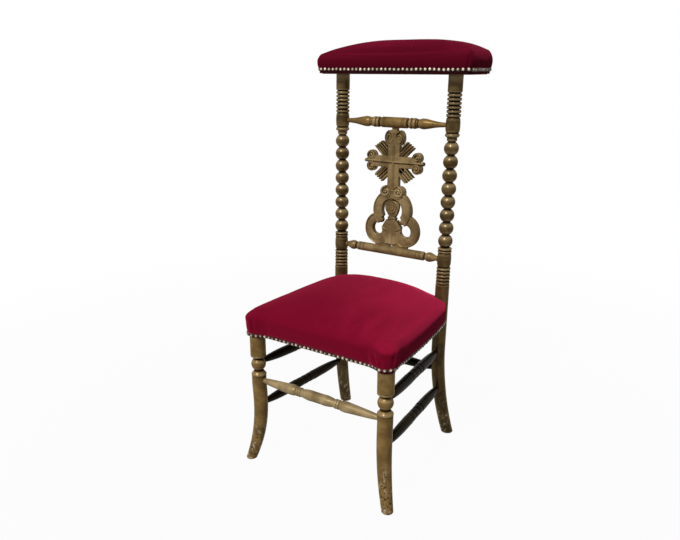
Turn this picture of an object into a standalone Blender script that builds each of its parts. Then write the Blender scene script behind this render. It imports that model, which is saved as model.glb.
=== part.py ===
"""Prayer chair: bead-turned back, pierced cross splat, stuffed seat and padded crest.

Metres, +Z up. The chair faces -Y. The origin is on the floor, under the middle of the chair.
"""

import math

import bmesh
import bpy
from mathutils import Vector

# Clearances
FIT = 0.0003
SLIT = 0.0008

# Plan of the frame, at the floor
FRONT_LEG_X = 0.1635
POST_X = 0.1360
POST_Y = 0.1067
SEAT_DEPTH = 0.2913
FRONT_LEG_Y = POST_Y - SEAT_DEPTH
POST_FLARE = 0.0068
POST_RAKE = 0.0244

# Sweep of the legs toward the floor
REAR_SWEEP_TOP = 0.2426
REAR_SWEEP_OUT = 0.0152
REAR_SWEEP_BACK = 0.0510
REAR_SWEEP_POWER = 1.81
FRONT_SWEEP_TOP = 0.190
FRONT_SWEEP_OUT = 0.0186
FRONT_SWEEP_FORWARD = 0.0155
FRONT_SWEEP_POWER = 2.6
FRONT_BOW = 0.14

# Back posts, stacked down from the crest board
CREST_BOARD_Z = 0.8583
POST_R = 0.0159
POST_TENON_R = 0.0100
POST_TENON = 0.0140
TOP_SHAFT = 0.0370
UPPER_RINGS = 6
UPPER_RING_PITCH = 0.00845
LOWER_RINGS = 5
LOWER_RING_PITCH = 0.0081
RING_DEPTH = 0.0028
BARREL_HEIGHT = 0.0330
BARREL_WAIST = 0.0013
COLLAR_HEIGHT = 0.0080
COVE_HEIGHT = 0.0096
COVE_R = 0.0115
BEADS = 8
BEAD_PITCH = 0.0294
BEAD_R = 0.01635
BEAD_NECK_R = 0.0105
LOWER_COLLAR_HEIGHT = 0.0125
REAR_FOOT_R = 0.0145

# Front legs
LEG_R = 0.0175
LEG_BALL_Z = 0.2381
LEG_BALL_R = 0.0165
LEG_NECK_R = 0.0100
LEG_NECK = 0.0060
LEG_CAP_RING = 0.0040
LEG_COLLAR = 0.0140
LEG_SHAFT_R = 0.0163
LEG_GROOVE = 0.0014
FRONT_FOOT_R = 0.0125

# Seat frame
RAIL_BOTTOM = 0.3080
RAIL_HEIGHT = 0.0420
RAIL_THICK = 0.0220
RAIL_FRONT_OUT = 0.0060
RAIL_SIDE_OUT = 0.0135
RAIL_SIDE_BOW = 0.0060
RAIL_REAR_OUT = 0.0110
RAIL_TENON = 0.0120
RAIL_TENON_THICK = 0.0080
RAIL_TENON_HEIGHT = 0.0260

# Stretchers
FRONT_STRETCHER_Z = 0.1995
REAR_STRETCHER_Z = 0.1850
SIDE_UPPER_FRONT_Z = 0.2410
SIDE_UPPER_REAR_Z = 0.2330
SIDE_LOWER_Z = 0.1370
STRETCHER_TENON = 0.0110
STRETCHER_END_R = 0.0058
STRETCHER_BELLY = 1.2
SIDE_BODY_R = 0.0113
SIDE_RING_R = 0.0108
SIDE_RING_WIDTH = 0.0190
SIDE_GROOVE = 0.0015
SIDE_SHOULDER = 0.0080
FRONT_BULGE_R = 0.0117
FRONT_BULGE = 0.0220
FRONT_NECK_R = 0.0088
FRONT_NECK = 0.0435
FRONT_RING_R = 0.0103
FRONT_RING_WIDTH = 0.0060
FRONT_VASE_R = 0.0118
FRONT_VASE = 0.0120

# Back spindles
SPINDLE_TENON = 0.0110
UPPER_SPINDLE_END_R = 0.0049
SPINDLE_BELLY = 0.85
UPPER_SPINDLE_R = 0.0120
UPPER_SPINDLE_BARREL = 0.0365
UPPER_SPINDLE_NECK_R = 0.0085
UPPER_SPINDLE_BEAD_R = 0.0118
UPPER_SPINDLE_BEAD = 0.0215
UPPER_SPINDLE_VASE_R = 0.0115
UPPER_SPINDLE_VASE = 0.0180
LOWER_SPINDLE_END_R = 0.0052
LOWER_SPINDLE_R = 0.0105
LOWER_SPINDLE_BARREL = 0.0888
LOWER_SPINDLE_NECK_R = 0.0072
LOWER_SPINDLE_BALL_R = 0.0112
LOWER_SPINDLE_BALL = 0.0280
SPINDLE_GROOVE = 0.0012

# Pierced splat, front view sizes
SPLAT_THICK = 0.0130
SPLAT_SET_BACK = 0.0045
TREFOIL_ARCH_R = 0.0490
TREFOIL_ARCH_OPENING_R = 0.0260
TREFOIL_ARCH_RISE = 0.0965
TREFOIL_LOBE_R = 0.0345
TREFOIL_LOBE_X = 0.0365
TREFOIL_LOBE_RISE = 0.0500
TREFOIL_LOBE_STRETCH = 1.10
TREFOIL_HOLE_R = 0.0135
TREFOIL_SLOT = 0.0120
SPLAT_FOOT_X = 0.0420
SPLAT_NOTCH = 0.0070
FINIAL_BULB_R = 0.0172
FINIAL_NECK_R = 0.0088
FINIAL_BELL_R = 0.0210
FINIAL_FLATNESS = 0.36
STEM_X = 0.0148
BASE_VOLUTE_R = 0.0127
BASE_VOLUTE_X = 0.0178
BASE_VOLUTE_RISE = 0.1405
CROSS_DROP = 0.0888
CROSS_ARM = 0.0590
CROSS_ARM_HEIGHT = 0.0260
ARM_VOLUTE_R = 0.0120
ARM_VOLUTE_RISE = 0.0125
ARM_KNOB_R = 0.0048
RAYS = 4
RAY_WIDTH = 0.0055
RAY_REACH_UP = 0.0610
RAY_REACH_DOWN = 0.0585
RAY_STEP = 0.0011
RAY_ANGLE = 44.0
TOP_VOLUTE_R = 0.0127
TOP_VOLUTE_X = 0.0122
TOP_VOLUTE_STRETCH = 1.38
TOP_VOLUTE_DROP = 0.0345
TOP_EYE_R = 0.0032
TOP_TAB_X = 0.0064
RIDGE_R = 0.0030
SCROLL_R = 0.0017
SCROLL_TURNS = 1.5
SPLAT_TONGUE = 0.0050
SPLAT_TONGUE_DEPTH = 0.0065
SPLAT_TONGUE_X = 0.0210
SPLAT_TONGUE_WIDTH = 0.0240

# Upholstery
COVER_THICK = 0.0018
WEB_WIDTH = 0.0500
WEB_THICK = 0.0015
WEB_PITCH_X = 0.0860
WEB_PITCH_Y = 0.2815 * SEAT_DEPTH
HESSIAN_THICK = 0.0010
HESSIAN_INSET = 0.0080
SEAT_MIDDLE_Y = POST_Y - 0.3835 * SEAT_DEPTH
SEAT_EDGE_RISE = 0.0010
SEAT_BULGE = 0.0080
SEAT_LIP = 0.0180
SEAT_LIP_START = 0.3
SEAT_SHOULDER = 0.0170
SEAT_SIDE_TOP = 0.3
SEAT_CROWN = 0.0400
SEAT_CROWN_POWER = 3.0
SEAT_CORNER_POWER = 18.0
SEAT_EAR_SHARE = 0.5
SEAT_POST_DIP = 0.0060
SEAT_DIP_SPREAD = 5.0
NOTCH_EDGE = 1.09
NOTCH_FADE = 1.5

# Crest pad
CREST_SET_BACK = 0.0215
CREST_HALF_X = 0.1865
CREST_HALF_Y = 0.0590
CREST_CORNER_R = 0.0240
CREST_BOARD = 0.0220
CREST_BULGE = 0.0040
CREST_SHOULDER = 0.0250
CREST_ROUND = 0.0200
CREST_ROUND_END = 55.0
CREST_CROWN = 0.0240
CREST_CROWN_POWER = 2.4

# Facets
LEG_FACETS = 10
BAR_FACETS = 8
DISC_FACETS = 16
SCROLL_FACETS = 14
SCRIBE_FACETS = 24

# Heights that follow from the stack of turnings
POST_TOP = CREST_BOARD_Z - FIT
UPPER_RINGS_TOP = POST_TOP - TOP_SHAFT
UPPER_BARREL_TOP = UPPER_RINGS_TOP - UPPER_RINGS * UPPER_RING_PITCH
UPPER_SPINDLE_Z = UPPER_BARREL_TOP - BARREL_HEIGHT / 2
COLLAR_TOP = UPPER_BARREL_TOP - BARREL_HEIGHT
COVE_TOP = COLLAR_TOP - COLLAR_HEIGHT
BEADS_TOP = COVE_TOP - COVE_HEIGHT
LOWER_COLLAR_TOP = BEADS_TOP - BEADS * BEAD_PITCH
LOWER_BARREL_TOP = LOWER_COLLAR_TOP - LOWER_COLLAR_HEIGHT
LOWER_SPINDLE_Z = LOWER_BARREL_TOP - BARREL_HEIGHT / 2
LOWER_RINGS_TOP = LOWER_BARREL_TOP - BARREL_HEIGHT
SHAFT_TOP = LOWER_RINGS_TOP - LOWER_RINGS * LOWER_RING_PITCH

# Levels of the seat
RAIL_TOP = RAIL_BOTTOM + RAIL_HEIGHT
RAIL_MIDDLE = RAIL_BOTTOM + RAIL_HEIGHT / 2
WEB_STEP = (WEB_THICK + FIT) / 2
WEB_Z = RAIL_TOP + FIT + WEB_THICK / 2 + WEB_STEP
HESSIAN_Z = WEB_Z + WEB_STEP + WEB_THICK / 2 + FIT
STUFFING_Z = HESSIAN_Z + HESSIAN_THICK + FIT
SEAT_SKIN = FIT + COVER_THICK
CREST_TOP = CREST_BOARD_Z + CREST_BOARD

SIDES = (("left", -1), ("right", 1))


def remove_everything():
    for item in list(bpy.data.objects):
        bpy.data.objects.remove(item)


def new_collection(name):
    collection = bpy.data.collections.new(name)
    bpy.context.scene.collection.children.link(collection)
    return collection


def finish(name, colour, roughness, metallic=0.0):
    """A plain material with one colour."""
    material = bpy.data.materials.new(name)
    material.use_nodes = True
    shader = material.node_tree.nodes["Principled BSDF"]
    shader.inputs["Base Color"].default_value = (*colour, 1.0)
    shader.inputs["Roughness"].default_value = roughness
    shader.inputs["Metallic"].default_value = metallic
    return material


# Shared modelling tools

def bake(item):
    """The evaluated mesh of an object, welded, with its faces turned outward."""
    depsgraph = bpy.context.evaluated_depsgraph_get()
    mesh = bpy.data.meshes.new_from_object(item.evaluated_get(depsgraph))
    mesh.transform(item.matrix_world)
    bpy.data.objects.remove(item)
    soft = bmesh.new()
    soft.from_mesh(mesh)
    bmesh.ops.remove_doubles(soft, verts=soft.verts, dist=1e-5)
    bmesh.ops.recalc_face_normals(soft, faces=soft.faces)
    soft.to_mesh(mesh)
    soft.free()
    return mesh


def helper(name, data, collection):
    """An object that shapes others and is no piece of the chair."""
    item = bpy.data.objects.new(name, data)
    item.hide_render = True
    item.display_type = "WIRE"
    collection.objects.link(item)
    return item


def part(name, mesh, material, sharp=35.0):
    """One piece of the chair."""
    mesh.name = name
    mesh.materials.clear()
    mesh.materials.append(material)
    mesh.shade_smooth()
    mesh.set_sharp_from_angle(angle=math.radians(sharp))
    item = bpy.data.objects.new(name, mesh)
    chair.objects.link(item)
    return item


def boolean(target, operand, operation="DIFFERENCE"):
    modifier = target.modifiers.new(operand.name, "BOOLEAN")
    modifier.operation = operation
    modifier.solver = "EXACT"
    modifier.object = operand
    return modifier


def turned(profile, facets):
    """Spins (radius, height) pairs, listed from the top down, about Z."""
    mesh = bpy.data.meshes.new("turning")
    points = [(radius, 0.0, height) for radius, height in profile]
    edges = [(i, i + 1) for i in range(len(points) - 1)]
    mesh.from_pydata(points, edges, [])
    item = helper("turning", mesh, cutters)
    screw = item.modifiers.new("Screw", "SCREW")
    screw.axis = "Z"
    screw.angle = 2 * math.pi
    screw.steps = facets
    screw.render_steps = facets
    screw.use_merge_vertices = True
    screw.merge_threshold = 1e-5
    return bake(item)


def primitive(name, build):
    """A helper mesh made by one of bmesh's primitive operators."""
    solid = bmesh.new()
    build(solid)
    mesh = bpy.data.meshes.new(name)
    solid.to_mesh(mesh)
    solid.free()
    return mesh


def box_mesh(size, shift=(0.0, 0.0, 0.0)):
    def build(solid):
        bmesh.ops.create_cube(solid, size=1.0)
        bmesh.ops.scale(solid, vec=Vector(size), verts=solid.verts)
        bmesh.ops.translate(solid, vec=Vector(shift), verts=solid.verts)
    return primitive("box", build)


def rod_mesh(radius, length, facets):
    def build(solid):
        bmesh.ops.create_cone(solid, cap_ends=True, segments=facets, radius1=radius, radius2=radius,
                              depth=length)
    return primitive("rod", build)


def along(item, start, end):
    """Lays an object whose length is its Z axis between two points."""
    item.location = (start + end) / 2
    item.rotation_mode = "QUATERNION"
    item.rotation_quaternion = (end - start).to_track_quat("Z", "Y")


def slab(outline, thickness):
    """A flat outline of (x, y) points, thickened both ways from its own plane."""
    curve = bpy.data.curves.new("outline", "CURVE")
    curve.dimensions = "2D"
    curve.fill_mode = "BOTH"
    curve.extrude = thickness / 2
    spline = curve.splines.new("POLY")
    spline.points.add(len(outline) - 1)
    for point, (x, y) in zip(spline.points, outline):
        point.co = (x, y, 0.0, 1.0)
    spline.use_cyclic_u = True
    return bake(helper("outline", curve, cutters))


def skin(rings, apex=None, floor=True):
    """Faces between rings of matching points, closed by a fan to an apex and by a flat floor."""
    solid = bmesh.new()
    rows = [[solid.verts.new(point) for point in ring] for ring in rings]
    count = len(rings[0])
    for lower, upper in zip(rows, rows[1:]):
        for i in range(count):
            j = (i + 1) % count
            solid.faces.new((lower[i], lower[j], upper[j], upper[i]))
    if apex is not None:
        tip = solid.verts.new(apex)
        for i in range(count):
            solid.faces.new((rows[-1][i], rows[-1][(i + 1) % count], tip))
    if floor:
        solid.faces.new(list(reversed(rows[0])))
    return solid


def skin_mesh(solid):
    bmesh.ops.recalc_face_normals(solid, faces=solid.faces)
    mesh = bpy.data.meshes.new("skin")
    solid.to_mesh(mesh)
    solid.free()
    return mesh


def shell_mesh(outer, outer_apex, inner, inner_apex):
    """A cover: an outer and an inner dome, joined along their lower edges."""
    solid = skin(outer, outer_apex, floor=False)
    inside = skin(inner, inner_apex, floor=False)
    lining = bpy.data.meshes.new("lining")
    inside.to_mesh(lining)
    inside.free()
    first = len(solid.verts)
    solid.from_mesh(lining)
    bpy.data.meshes.remove(lining)
    solid.verts.ensure_lookup_table()
    count = len(outer[0])
    for i in range(count):
        j = (i + 1) % count
        corners = (solid.verts[j], solid.verts[i], solid.verts[first + i], solid.verts[first + j])
        solid.faces.new(corners)
    return skin_mesh(solid)


# Turned profiles

def ring_stack(top, count, pitch, radius, depth):
    """Rounded rings with V grooves between them, going down from top."""
    points = []
    for i in range(count):
        start = top - i * pitch
        points.append((radius - depth, start))
        points.append((radius, start - 0.30 * pitch))
        points.append((radius, start - 0.70 * pitch))
    points.append((radius - depth, top - count * pitch))
    return points


def bead_string(top, count, pitch, radius, neck):
    """Round beads on a thin neck, going down from top. Large beads meet where their spheres cross."""
    reach = min(math.sqrt(radius ** 2 - neck ** 2), 0.48 * pitch)
    widest = math.asin(reach / radius)
    points = []
    for i in range(count):
        middle = top - (i + 0.5) * pitch
        for share in (1.0, 0.5, 0.0, -0.5, -1.0):
            angle = share * widest
            points.append((radius * math.cos(angle), middle + radius * math.sin(angle)))
    return points


def barrel(top, height, radius, waist):
    """A slightly swollen drum with eased ends."""
    eased = radius - waist
    end = eased - waist
    return [
        (end, top),
        (eased, top - 0.06 * height),
        (radius, top - 0.35 * height),
        (radius, top - 0.65 * height),
        (eased, top - 0.94 * height),
        (end, top - height),
    ]


def collar(top, height, radius, depth):
    """A raised ring with a groove above and below it."""
    return [
        (radius - depth, top),
        (radius, top - 0.3 * height),
        (radius, top - 0.8 * height),
    ]


def post_profile():
    """The back post from the tenon in the crest board down to the foot."""
    points = [(0.0, POST_TOP + POST_TENON), (POST_TENON_R, POST_TOP + POST_TENON), (POST_TENON_R, POST_TOP)]
    points += [(POST_R, POST_TOP), (POST_R, UPPER_RINGS_TOP + UPPER_RING_PITCH / 4)]
    points += ring_stack(UPPER_RINGS_TOP, UPPER_RINGS, UPPER_RING_PITCH, POST_R, RING_DEPTH)[:-1]
    points += barrel(UPPER_BARREL_TOP, BARREL_HEIGHT, POST_R, BARREL_WAIST)[:-1]
    points += collar(COLLAR_TOP, COLLAR_HEIGHT, POST_R, RING_DEPTH)
    points += [(COVE_R, COVE_TOP - 0.2 * COVE_HEIGHT), (COVE_R, COVE_TOP - 0.8 * COVE_HEIGHT)]
    points += bead_string(BEADS_TOP, BEADS, BEAD_PITCH, BEAD_R, BEAD_NECK_R)
    points += ring_stack(LOWER_COLLAR_TOP, 2, LOWER_COLLAR_HEIGHT / 2, POST_R, RING_DEPTH)[:-1]
    points += barrel(LOWER_BARREL_TOP, BARREL_HEIGHT, POST_R, BARREL_WAIST)[:-1]
    points += ring_stack(LOWER_RINGS_TOP, LOWER_RINGS, LOWER_RING_PITCH, POST_R, RING_DEPTH)
    points += [(POST_R, SHAFT_TOP - LOWER_RING_PITCH / 4)]
    steps = 7
    for i in range(steps + 1):
        share = i / steps
        points.append((POST_R + (REAR_FOOT_R - POST_R) * share ** 2, REAR_SWEEP_TOP * (1 - share)))
    return points + [(0.0, 0.0)]


def front_leg_profile():
    """The front leg from the seat corner down to the foot."""
    ball_reach = math.sqrt(LEG_BALL_R ** 2 - LEG_NECK_R ** 2)
    drum_bottom = LEG_BALL_Z + ball_reach + LEG_NECK + LEG_CAP_RING
    collar_top = LEG_BALL_Z - ball_reach - LEG_NECK / 2
    shaft_top = collar_top - LEG_COLLAR
    points = [(0.0, RAIL_TOP), (LEG_R, RAIL_TOP), (LEG_R, drum_bottom)]
    points += [(LEG_R - LEG_GROOVE, drum_bottom - 0.25 * LEG_CAP_RING)]
    points += [(LEG_R, drum_bottom - 0.5 * LEG_CAP_RING), (LEG_R - LEG_GROOVE, drum_bottom - LEG_CAP_RING)]
    points += [(LEG_NECK_R, drum_bottom - LEG_CAP_RING - LEG_NECK / 2)]
    widest = math.asin(ball_reach / LEG_BALL_R)
    for share in (1.0, 0.67, 0.33, 0.0, -0.33, -0.67, -1.0):
        angle = share * widest
        points.append((LEG_BALL_R * math.cos(angle), LEG_BALL_Z + LEG_BALL_R * math.sin(angle)))
    points += [(LEG_NECK_R, collar_top), (LEG_SHAFT_R, collar_top - 0.62 * LEG_COLLAR)]
    points += [(LEG_SHAFT_R, collar_top - 0.85 * LEG_COLLAR), (LEG_SHAFT_R - LEG_GROOVE, shaft_top)]
    points += [(LEG_SHAFT_R, shaft_top - LEG_GROOVE)]
    steps = 8
    start = min(FRONT_SWEEP_TOP, shaft_top - 2 * LEG_GROOVE)
    for i in range(steps + 1):
        share = i / steps
        points.append((LEG_SHAFT_R + (FRONT_FOOT_R - LEG_SHAFT_R) * share ** 2.4, start * (1 - share)))
    return points + [(0.0, 0.0)]


def post_axis(z):
    """Centre of the right back post at a height."""
    bend = max(0.0, 1.0 - z / REAR_SWEEP_TOP) ** REAR_SWEEP_POWER
    x = POST_X + POST_FLARE * z + REAR_SWEEP_OUT * bend
    y = POST_Y + POST_RAKE * z + REAR_SWEEP_BACK * bend
    return Vector((x, y, z))


def front_leg_axis(z):
    """Centre of the right front leg at a height."""
    share = max(0.0, 1.0 - z / FRONT_SWEEP_TOP)
    bend = share ** FRONT_SWEEP_POWER - FRONT_BOW * math.sin(math.pi * share)
    return Vector((FRONT_LEG_X + FRONT_SWEEP_OUT * bend, FRONT_LEG_Y - FRONT_SWEEP_FORWARD * bend, z))


def on_side(point, side):
    return Vector((side * point.x, point.y, point.z))


def swept_leg(name, profile, axis, side):
    """A turned leg whose sections follow a curved axis. It stands at its own foot."""
    mesh = turned(profile, LEG_FACETS)
    foot = axis(0.0)
    for vertex in mesh.vertices:
        shift = axis(vertex.co.z) - foot
        vertex.co.x += side * shift.x
        vertex.co.y += shift.y
    leg = part(name, mesh, gilt)
    leg.location = on_side(foot, side)
    return leg


# Turned bars

def taper(start, end, first, last, belly):
    """Thins from one radius to another. A belly over 1 stays full at first, under 1 hollows the line."""
    shares = (0.35, 0.7, 1.0)
    return [(first + (last - first) * share ** belly, start + (end - start) * share) for share in shares]


def side_turning(half):
    """Three plain rings, a shoulder and a long taper to the thin end."""
    edge = SIDE_RING_WIDTH / 2
    points = []
    for i in range(2):
        joint = edge + i * SIDE_RING_WIDTH
        points.append((SIDE_RING_R, joint - SIDE_GROOVE))
        points.append((SIDE_RING_R - SIDE_GROOVE, joint))
        points.append((SIDE_BODY_R if i else SIDE_RING_R, joint + SIDE_GROOVE))
    shoulder = edge + SIDE_RING_WIDTH + SIDE_GROOVE + SIDE_SHOULDER
    points.append((SIDE_BODY_R, shoulder))
    return points + taper(shoulder, half - STRETCHER_TENON, SIDE_BODY_R, STRETCHER_END_R, STRETCHER_BELLY)


def front_turning(half):
    """A ringed double bulge, a neck, a pair of rings and a vase that thins to the end."""
    points = [(FRONT_BULGE_R, 0.3 * FRONT_BULGE), (FRONT_BULGE_R - SIDE_GROOVE, 0.37 * FRONT_BULGE)]
    points += [(FRONT_BULGE_R, 0.45 * FRONT_BULGE), (FRONT_BULGE_R, FRONT_BULGE)]
    points += [(FRONT_NECK_R, FRONT_NECK)]
    for i in range(2):
        start = FRONT_NECK + i * FRONT_RING_WIDTH
        points.append((FRONT_RING_R, start + 0.3 * FRONT_RING_WIDTH))
        points.append((FRONT_RING_R, start + 0.8 * FRONT_RING_WIDTH))
        points.append((FRONT_RING_R - SIDE_GROOVE, start + FRONT_RING_WIDTH))
    shoulder = FRONT_NECK + 2 * FRONT_RING_WIDTH + 0.6 * FRONT_VASE
    vase = FRONT_NECK + 2 * FRONT_RING_WIDTH + 1.4 * FRONT_VASE
    points += [(FRONT_VASE_R, shoulder), (FRONT_VASE_R, vase)]
    return points + taper(vase, half - STRETCHER_TENON, FRONT_VASE_R, STRETCHER_END_R, STRETCHER_BELLY)


def upper_spindle_turning(half):
    """A drum with a fine groove near each end, a bead and a vase that thins to the post."""
    drum = UPPER_SPINDLE_BARREL
    bead = drum + UPPER_SPINDLE_BEAD
    vase = bead + UPPER_SPINDLE_VASE
    points = [(UPPER_SPINDLE_R, 0.72 * drum), (UPPER_SPINDLE_R - SPINDLE_GROOVE, 0.76 * drum)]
    points += [(UPPER_SPINDLE_R, 0.80 * drum), (UPPER_SPINDLE_R, 0.94 * drum)]
    points += [(UPPER_SPINDLE_NECK_R, drum)]
    points += [(UPPER_SPINDLE_BEAD_R, drum + 0.35 * UPPER_SPINDLE_BEAD)]
    points += [(UPPER_SPINDLE_BEAD_R, drum + 0.65 * UPPER_SPINDLE_BEAD), (UPPER_SPINDLE_NECK_R, bead)]
    points += [(UPPER_SPINDLE_VASE_R, bead + 0.5 * UPPER_SPINDLE_VASE), (UPPER_SPINDLE_VASE_R, vase)]
    end = half - SPINDLE_TENON
    return points + taper(vase, end, UPPER_SPINDLE_VASE_R, UPPER_SPINDLE_END_R, SPINDLE_BELLY)


def lower_spindle_turning(half):
    """A long drum with grooves near its ends and a pear at each post."""
    drum = LOWER_SPINDLE_BARREL
    pear = drum + LOWER_SPINDLE_BALL
    points = []
    for share in (0.78, 0.88):
        points.append((LOWER_SPINDLE_R, share * drum - SPINDLE_GROOVE))
        points.append((LOWER_SPINDLE_R - SPINDLE_GROOVE, share * drum))
        points.append((LOWER_SPINDLE_R, share * drum + SPINDLE_GROOVE))
    points += [(LOWER_SPINDLE_R, drum), (LOWER_SPINDLE_NECK_R, drum + 0.12 * LOWER_SPINDLE_BALL)]
    points += [(LOWER_SPINDLE_BALL_R, drum + 0.40 * LOWER_SPINDLE_BALL)]
    points += [(LOWER_SPINDLE_BALL_R, drum + 0.58 * LOWER_SPINDLE_BALL)]
    points += [(0.75 * LOWER_SPINDLE_BALL_R, drum + 0.80 * LOWER_SPINDLE_BALL), (LOWER_SPINDLE_END_R, pear)]
    return points


def turned_bar(name, start, end, start_radius, end_radius, tenon, thin, turning):
    """A turned bar between two leg centres, with its thin ends let into both. Returns it and its bores."""
    run = (end - start).normalized()
    first = start + run * (start_radius - tenon)
    last = end - run * (end_radius - tenon)
    half = (last - first).length / 2
    points = turning(half)
    upper = [(radius, distance) for radius, distance in reversed(points)]
    lower = [(radius, -distance) for radius, distance in points]
    profile = [(0.0, half), (thin, half)] + upper + lower + [(thin, -half), (0.0, -half)]
    bar = part(name, turned(profile, BAR_FACETS), gilt)
    along(bar, first, last)
    bore = helper(name + "_bore", rod_mesh(thin + FIT, 2 * (half + FIT), BAR_FACETS * 2), cutters)
    along(bore, first, last)
    return bar, bore


# Seat frame

def bow_share(along):
    """How much of its bow a rail has at a share of its length: 1 in the middle, 0 at both ends."""
    return max(0.0, 1.0 - (2.0 * along - 1.0) ** 2)


def bowed_bar(length, bow):
    """A rail's plain body along X, with its outer face on the -Y side and bowed outward."""
    steps = 8 if bow else 1
    outer = []
    for i in range(steps + 1):
        along = i / steps
        outer.append(((along - 0.5) * length, -RAIL_THICK / 2 - bow * bow_share(along)))
    return slab(outer + [(length / 2, RAIL_THICK / 2), (-length / 2, RAIL_THICK / 2)], RAIL_HEIGHT)


def rail(name, start, end, outward, bow, shoulders, stops):
    """A seat rail between two leg centres, scribed to them and tenoned into them.

    outward is how far its outer face lies outside the line between the centres, and bow how much further
    it goes in the middle. stops are the rails that it butts against inside the corners. Returns its
    mortises and the room that it needs as a stop.
    """
    run = end - start
    length = run.length
    side = Vector((run.y, -run.x, 0.0)).normalized()
    middle = (start + end) / 2 + side * (outward - RAIL_THICK / 2)
    turn = math.atan2(run.y, run.x)

    def placed(label, mesh):
        item = helper(name + label, mesh, cutters)
        item.location = middle
        item.rotation_euler.z = turn
        return item

    body = placed("_body", bowed_bar(length, bow))
    for centre, radius in zip((start, end), shoulders):
        scribe = helper(name + "_scribe", rod_mesh(radius + FIT, 2 * RAIL_HEIGHT, SCRIBE_FACETS), cutters)
        scribe.location = centre
        scribe.rotation_euler.x = 0.0 if radius == LEG_R else -math.atan(POST_RAKE)
        boolean(body, scribe)
    for stop in stops:
        boolean(body, stop)
    reach = length - 2 * (min(shoulders) - RAIL_TENON)
    boolean(body, placed("_tenon", box_mesh((reach, RAIL_TENON_THICK, RAIL_TENON_HEIGHT))), "UNION")
    bpy.context.view_layer.update()
    mesh = bpy.data.meshes.new_from_object(body.evaluated_get(bpy.context.evaluated_depsgraph_get()))
    piece = part(name, mesh, beech)
    piece.location = middle
    piece.rotation_euler.z = turn
    mortise_size = (reach + 2 * FIT, RAIL_TENON_THICK + 2 * FIT, RAIL_TENON_HEIGHT + 2 * FIT)
    mortise = placed("_mortise", box_mesh(mortise_size))
    room = placed("_room", box_mesh((length, RAIL_THICK + 2 * FIT, RAIL_HEIGHT + 2 * FIT)))
    return mortise, room


# Pierced splat, carved in its own upright frame: X across, -Y to the front, Z up from the lower spindle

def carving_box(centre, size, turn=0.0, roll=0.0):
    item = helper("carving", box_mesh(size), carvings)
    item.location = centre
    item.rotation_euler = (0.0, turn, roll)
    return item


def carving_disc(x, z, radius, thickness, stretch=1.0):
    item = helper("carving", rod_mesh(radius, thickness, DISC_FACETS), carvings)
    item.location = (x, 0.0, z)
    item.rotation_euler.x = math.pi / 2
    item.scale.y = stretch
    return item


def carving_scroll(x, z, radius, hand, start, face):
    """A raised spiral on a volute, wound inward from its rim."""
    steps = SCROLL_FACETS
    curve = bpy.data.curves.new("scroll", "CURVE")
    curve.dimensions = "3D"
    curve.bevel_depth = SCROLL_R
    curve.bevel_resolution = 0
    curve.use_fill_caps = True
    spline = curve.splines.new("POLY")
    spline.points.add(steps)
    for i, point in enumerate(spline.points):
        share = i / steps
        angle = math.radians(start) + hand * 2 * math.pi * SCROLL_TURNS * share
        reach = (radius - 1.3 * SCROLL_R) * (1 - 0.80 * share)
        point.co = (x + reach * math.cos(angle), face, z + reach * math.sin(angle), 1.0)
    return helper("scroll", bake(helper("scroll", curve, carvings)), carvings)


def splat_openings(height):
    """What is cut through the board: the arch, two round holes, slots that join them and a notch below."""
    through = 3 * SPLAT_THICK
    arch = carving_disc(0.0, TREFOIL_ARCH_RISE, TREFOIL_ARCH_OPENING_R, through)
    notch = carving_box((0.0, 0.0, LOWER_SPINDLE_R), (SPLAT_NOTCH, through, SPLAT_NOTCH), math.pi / 4)
    cuts = [arch, notch]
    for side in (-1, 1):
        hole_x = side * TREFOIL_LOBE_X
        cuts.append(carving_disc(hole_x, TREFOIL_LOBE_RISE, TREFOIL_HOLE_R, through))
        start_z = TREFOIL_ARCH_RISE - 0.5 * TREFOIL_ARCH_OPENING_R
        start = Vector((0.6 * side * TREFOIL_ARCH_OPENING_R, 0.0, start_z))
        end_z = TREFOIL_LOBE_RISE + 0.5 * TREFOIL_HOLE_R
        end = Vector((hole_x - 0.4 * side * TREFOIL_HOLE_R, 0.0, end_z))
        run = end - start
        size = (TREFOIL_SLOT, through, run.length)
        cuts.append(carving_box((start + end) / 2, size, math.atan2(run.x, run.z)))
        eye_z = height - TOP_VOLUTE_DROP - 0.62 * TOP_VOLUTE_R * TOP_VOLUTE_STRETCH
        cuts.append(carving_disc(side * 0.95 * TOP_VOLUTE_R, eye_z, TOP_EYE_R, through))
    return cuts


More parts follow.
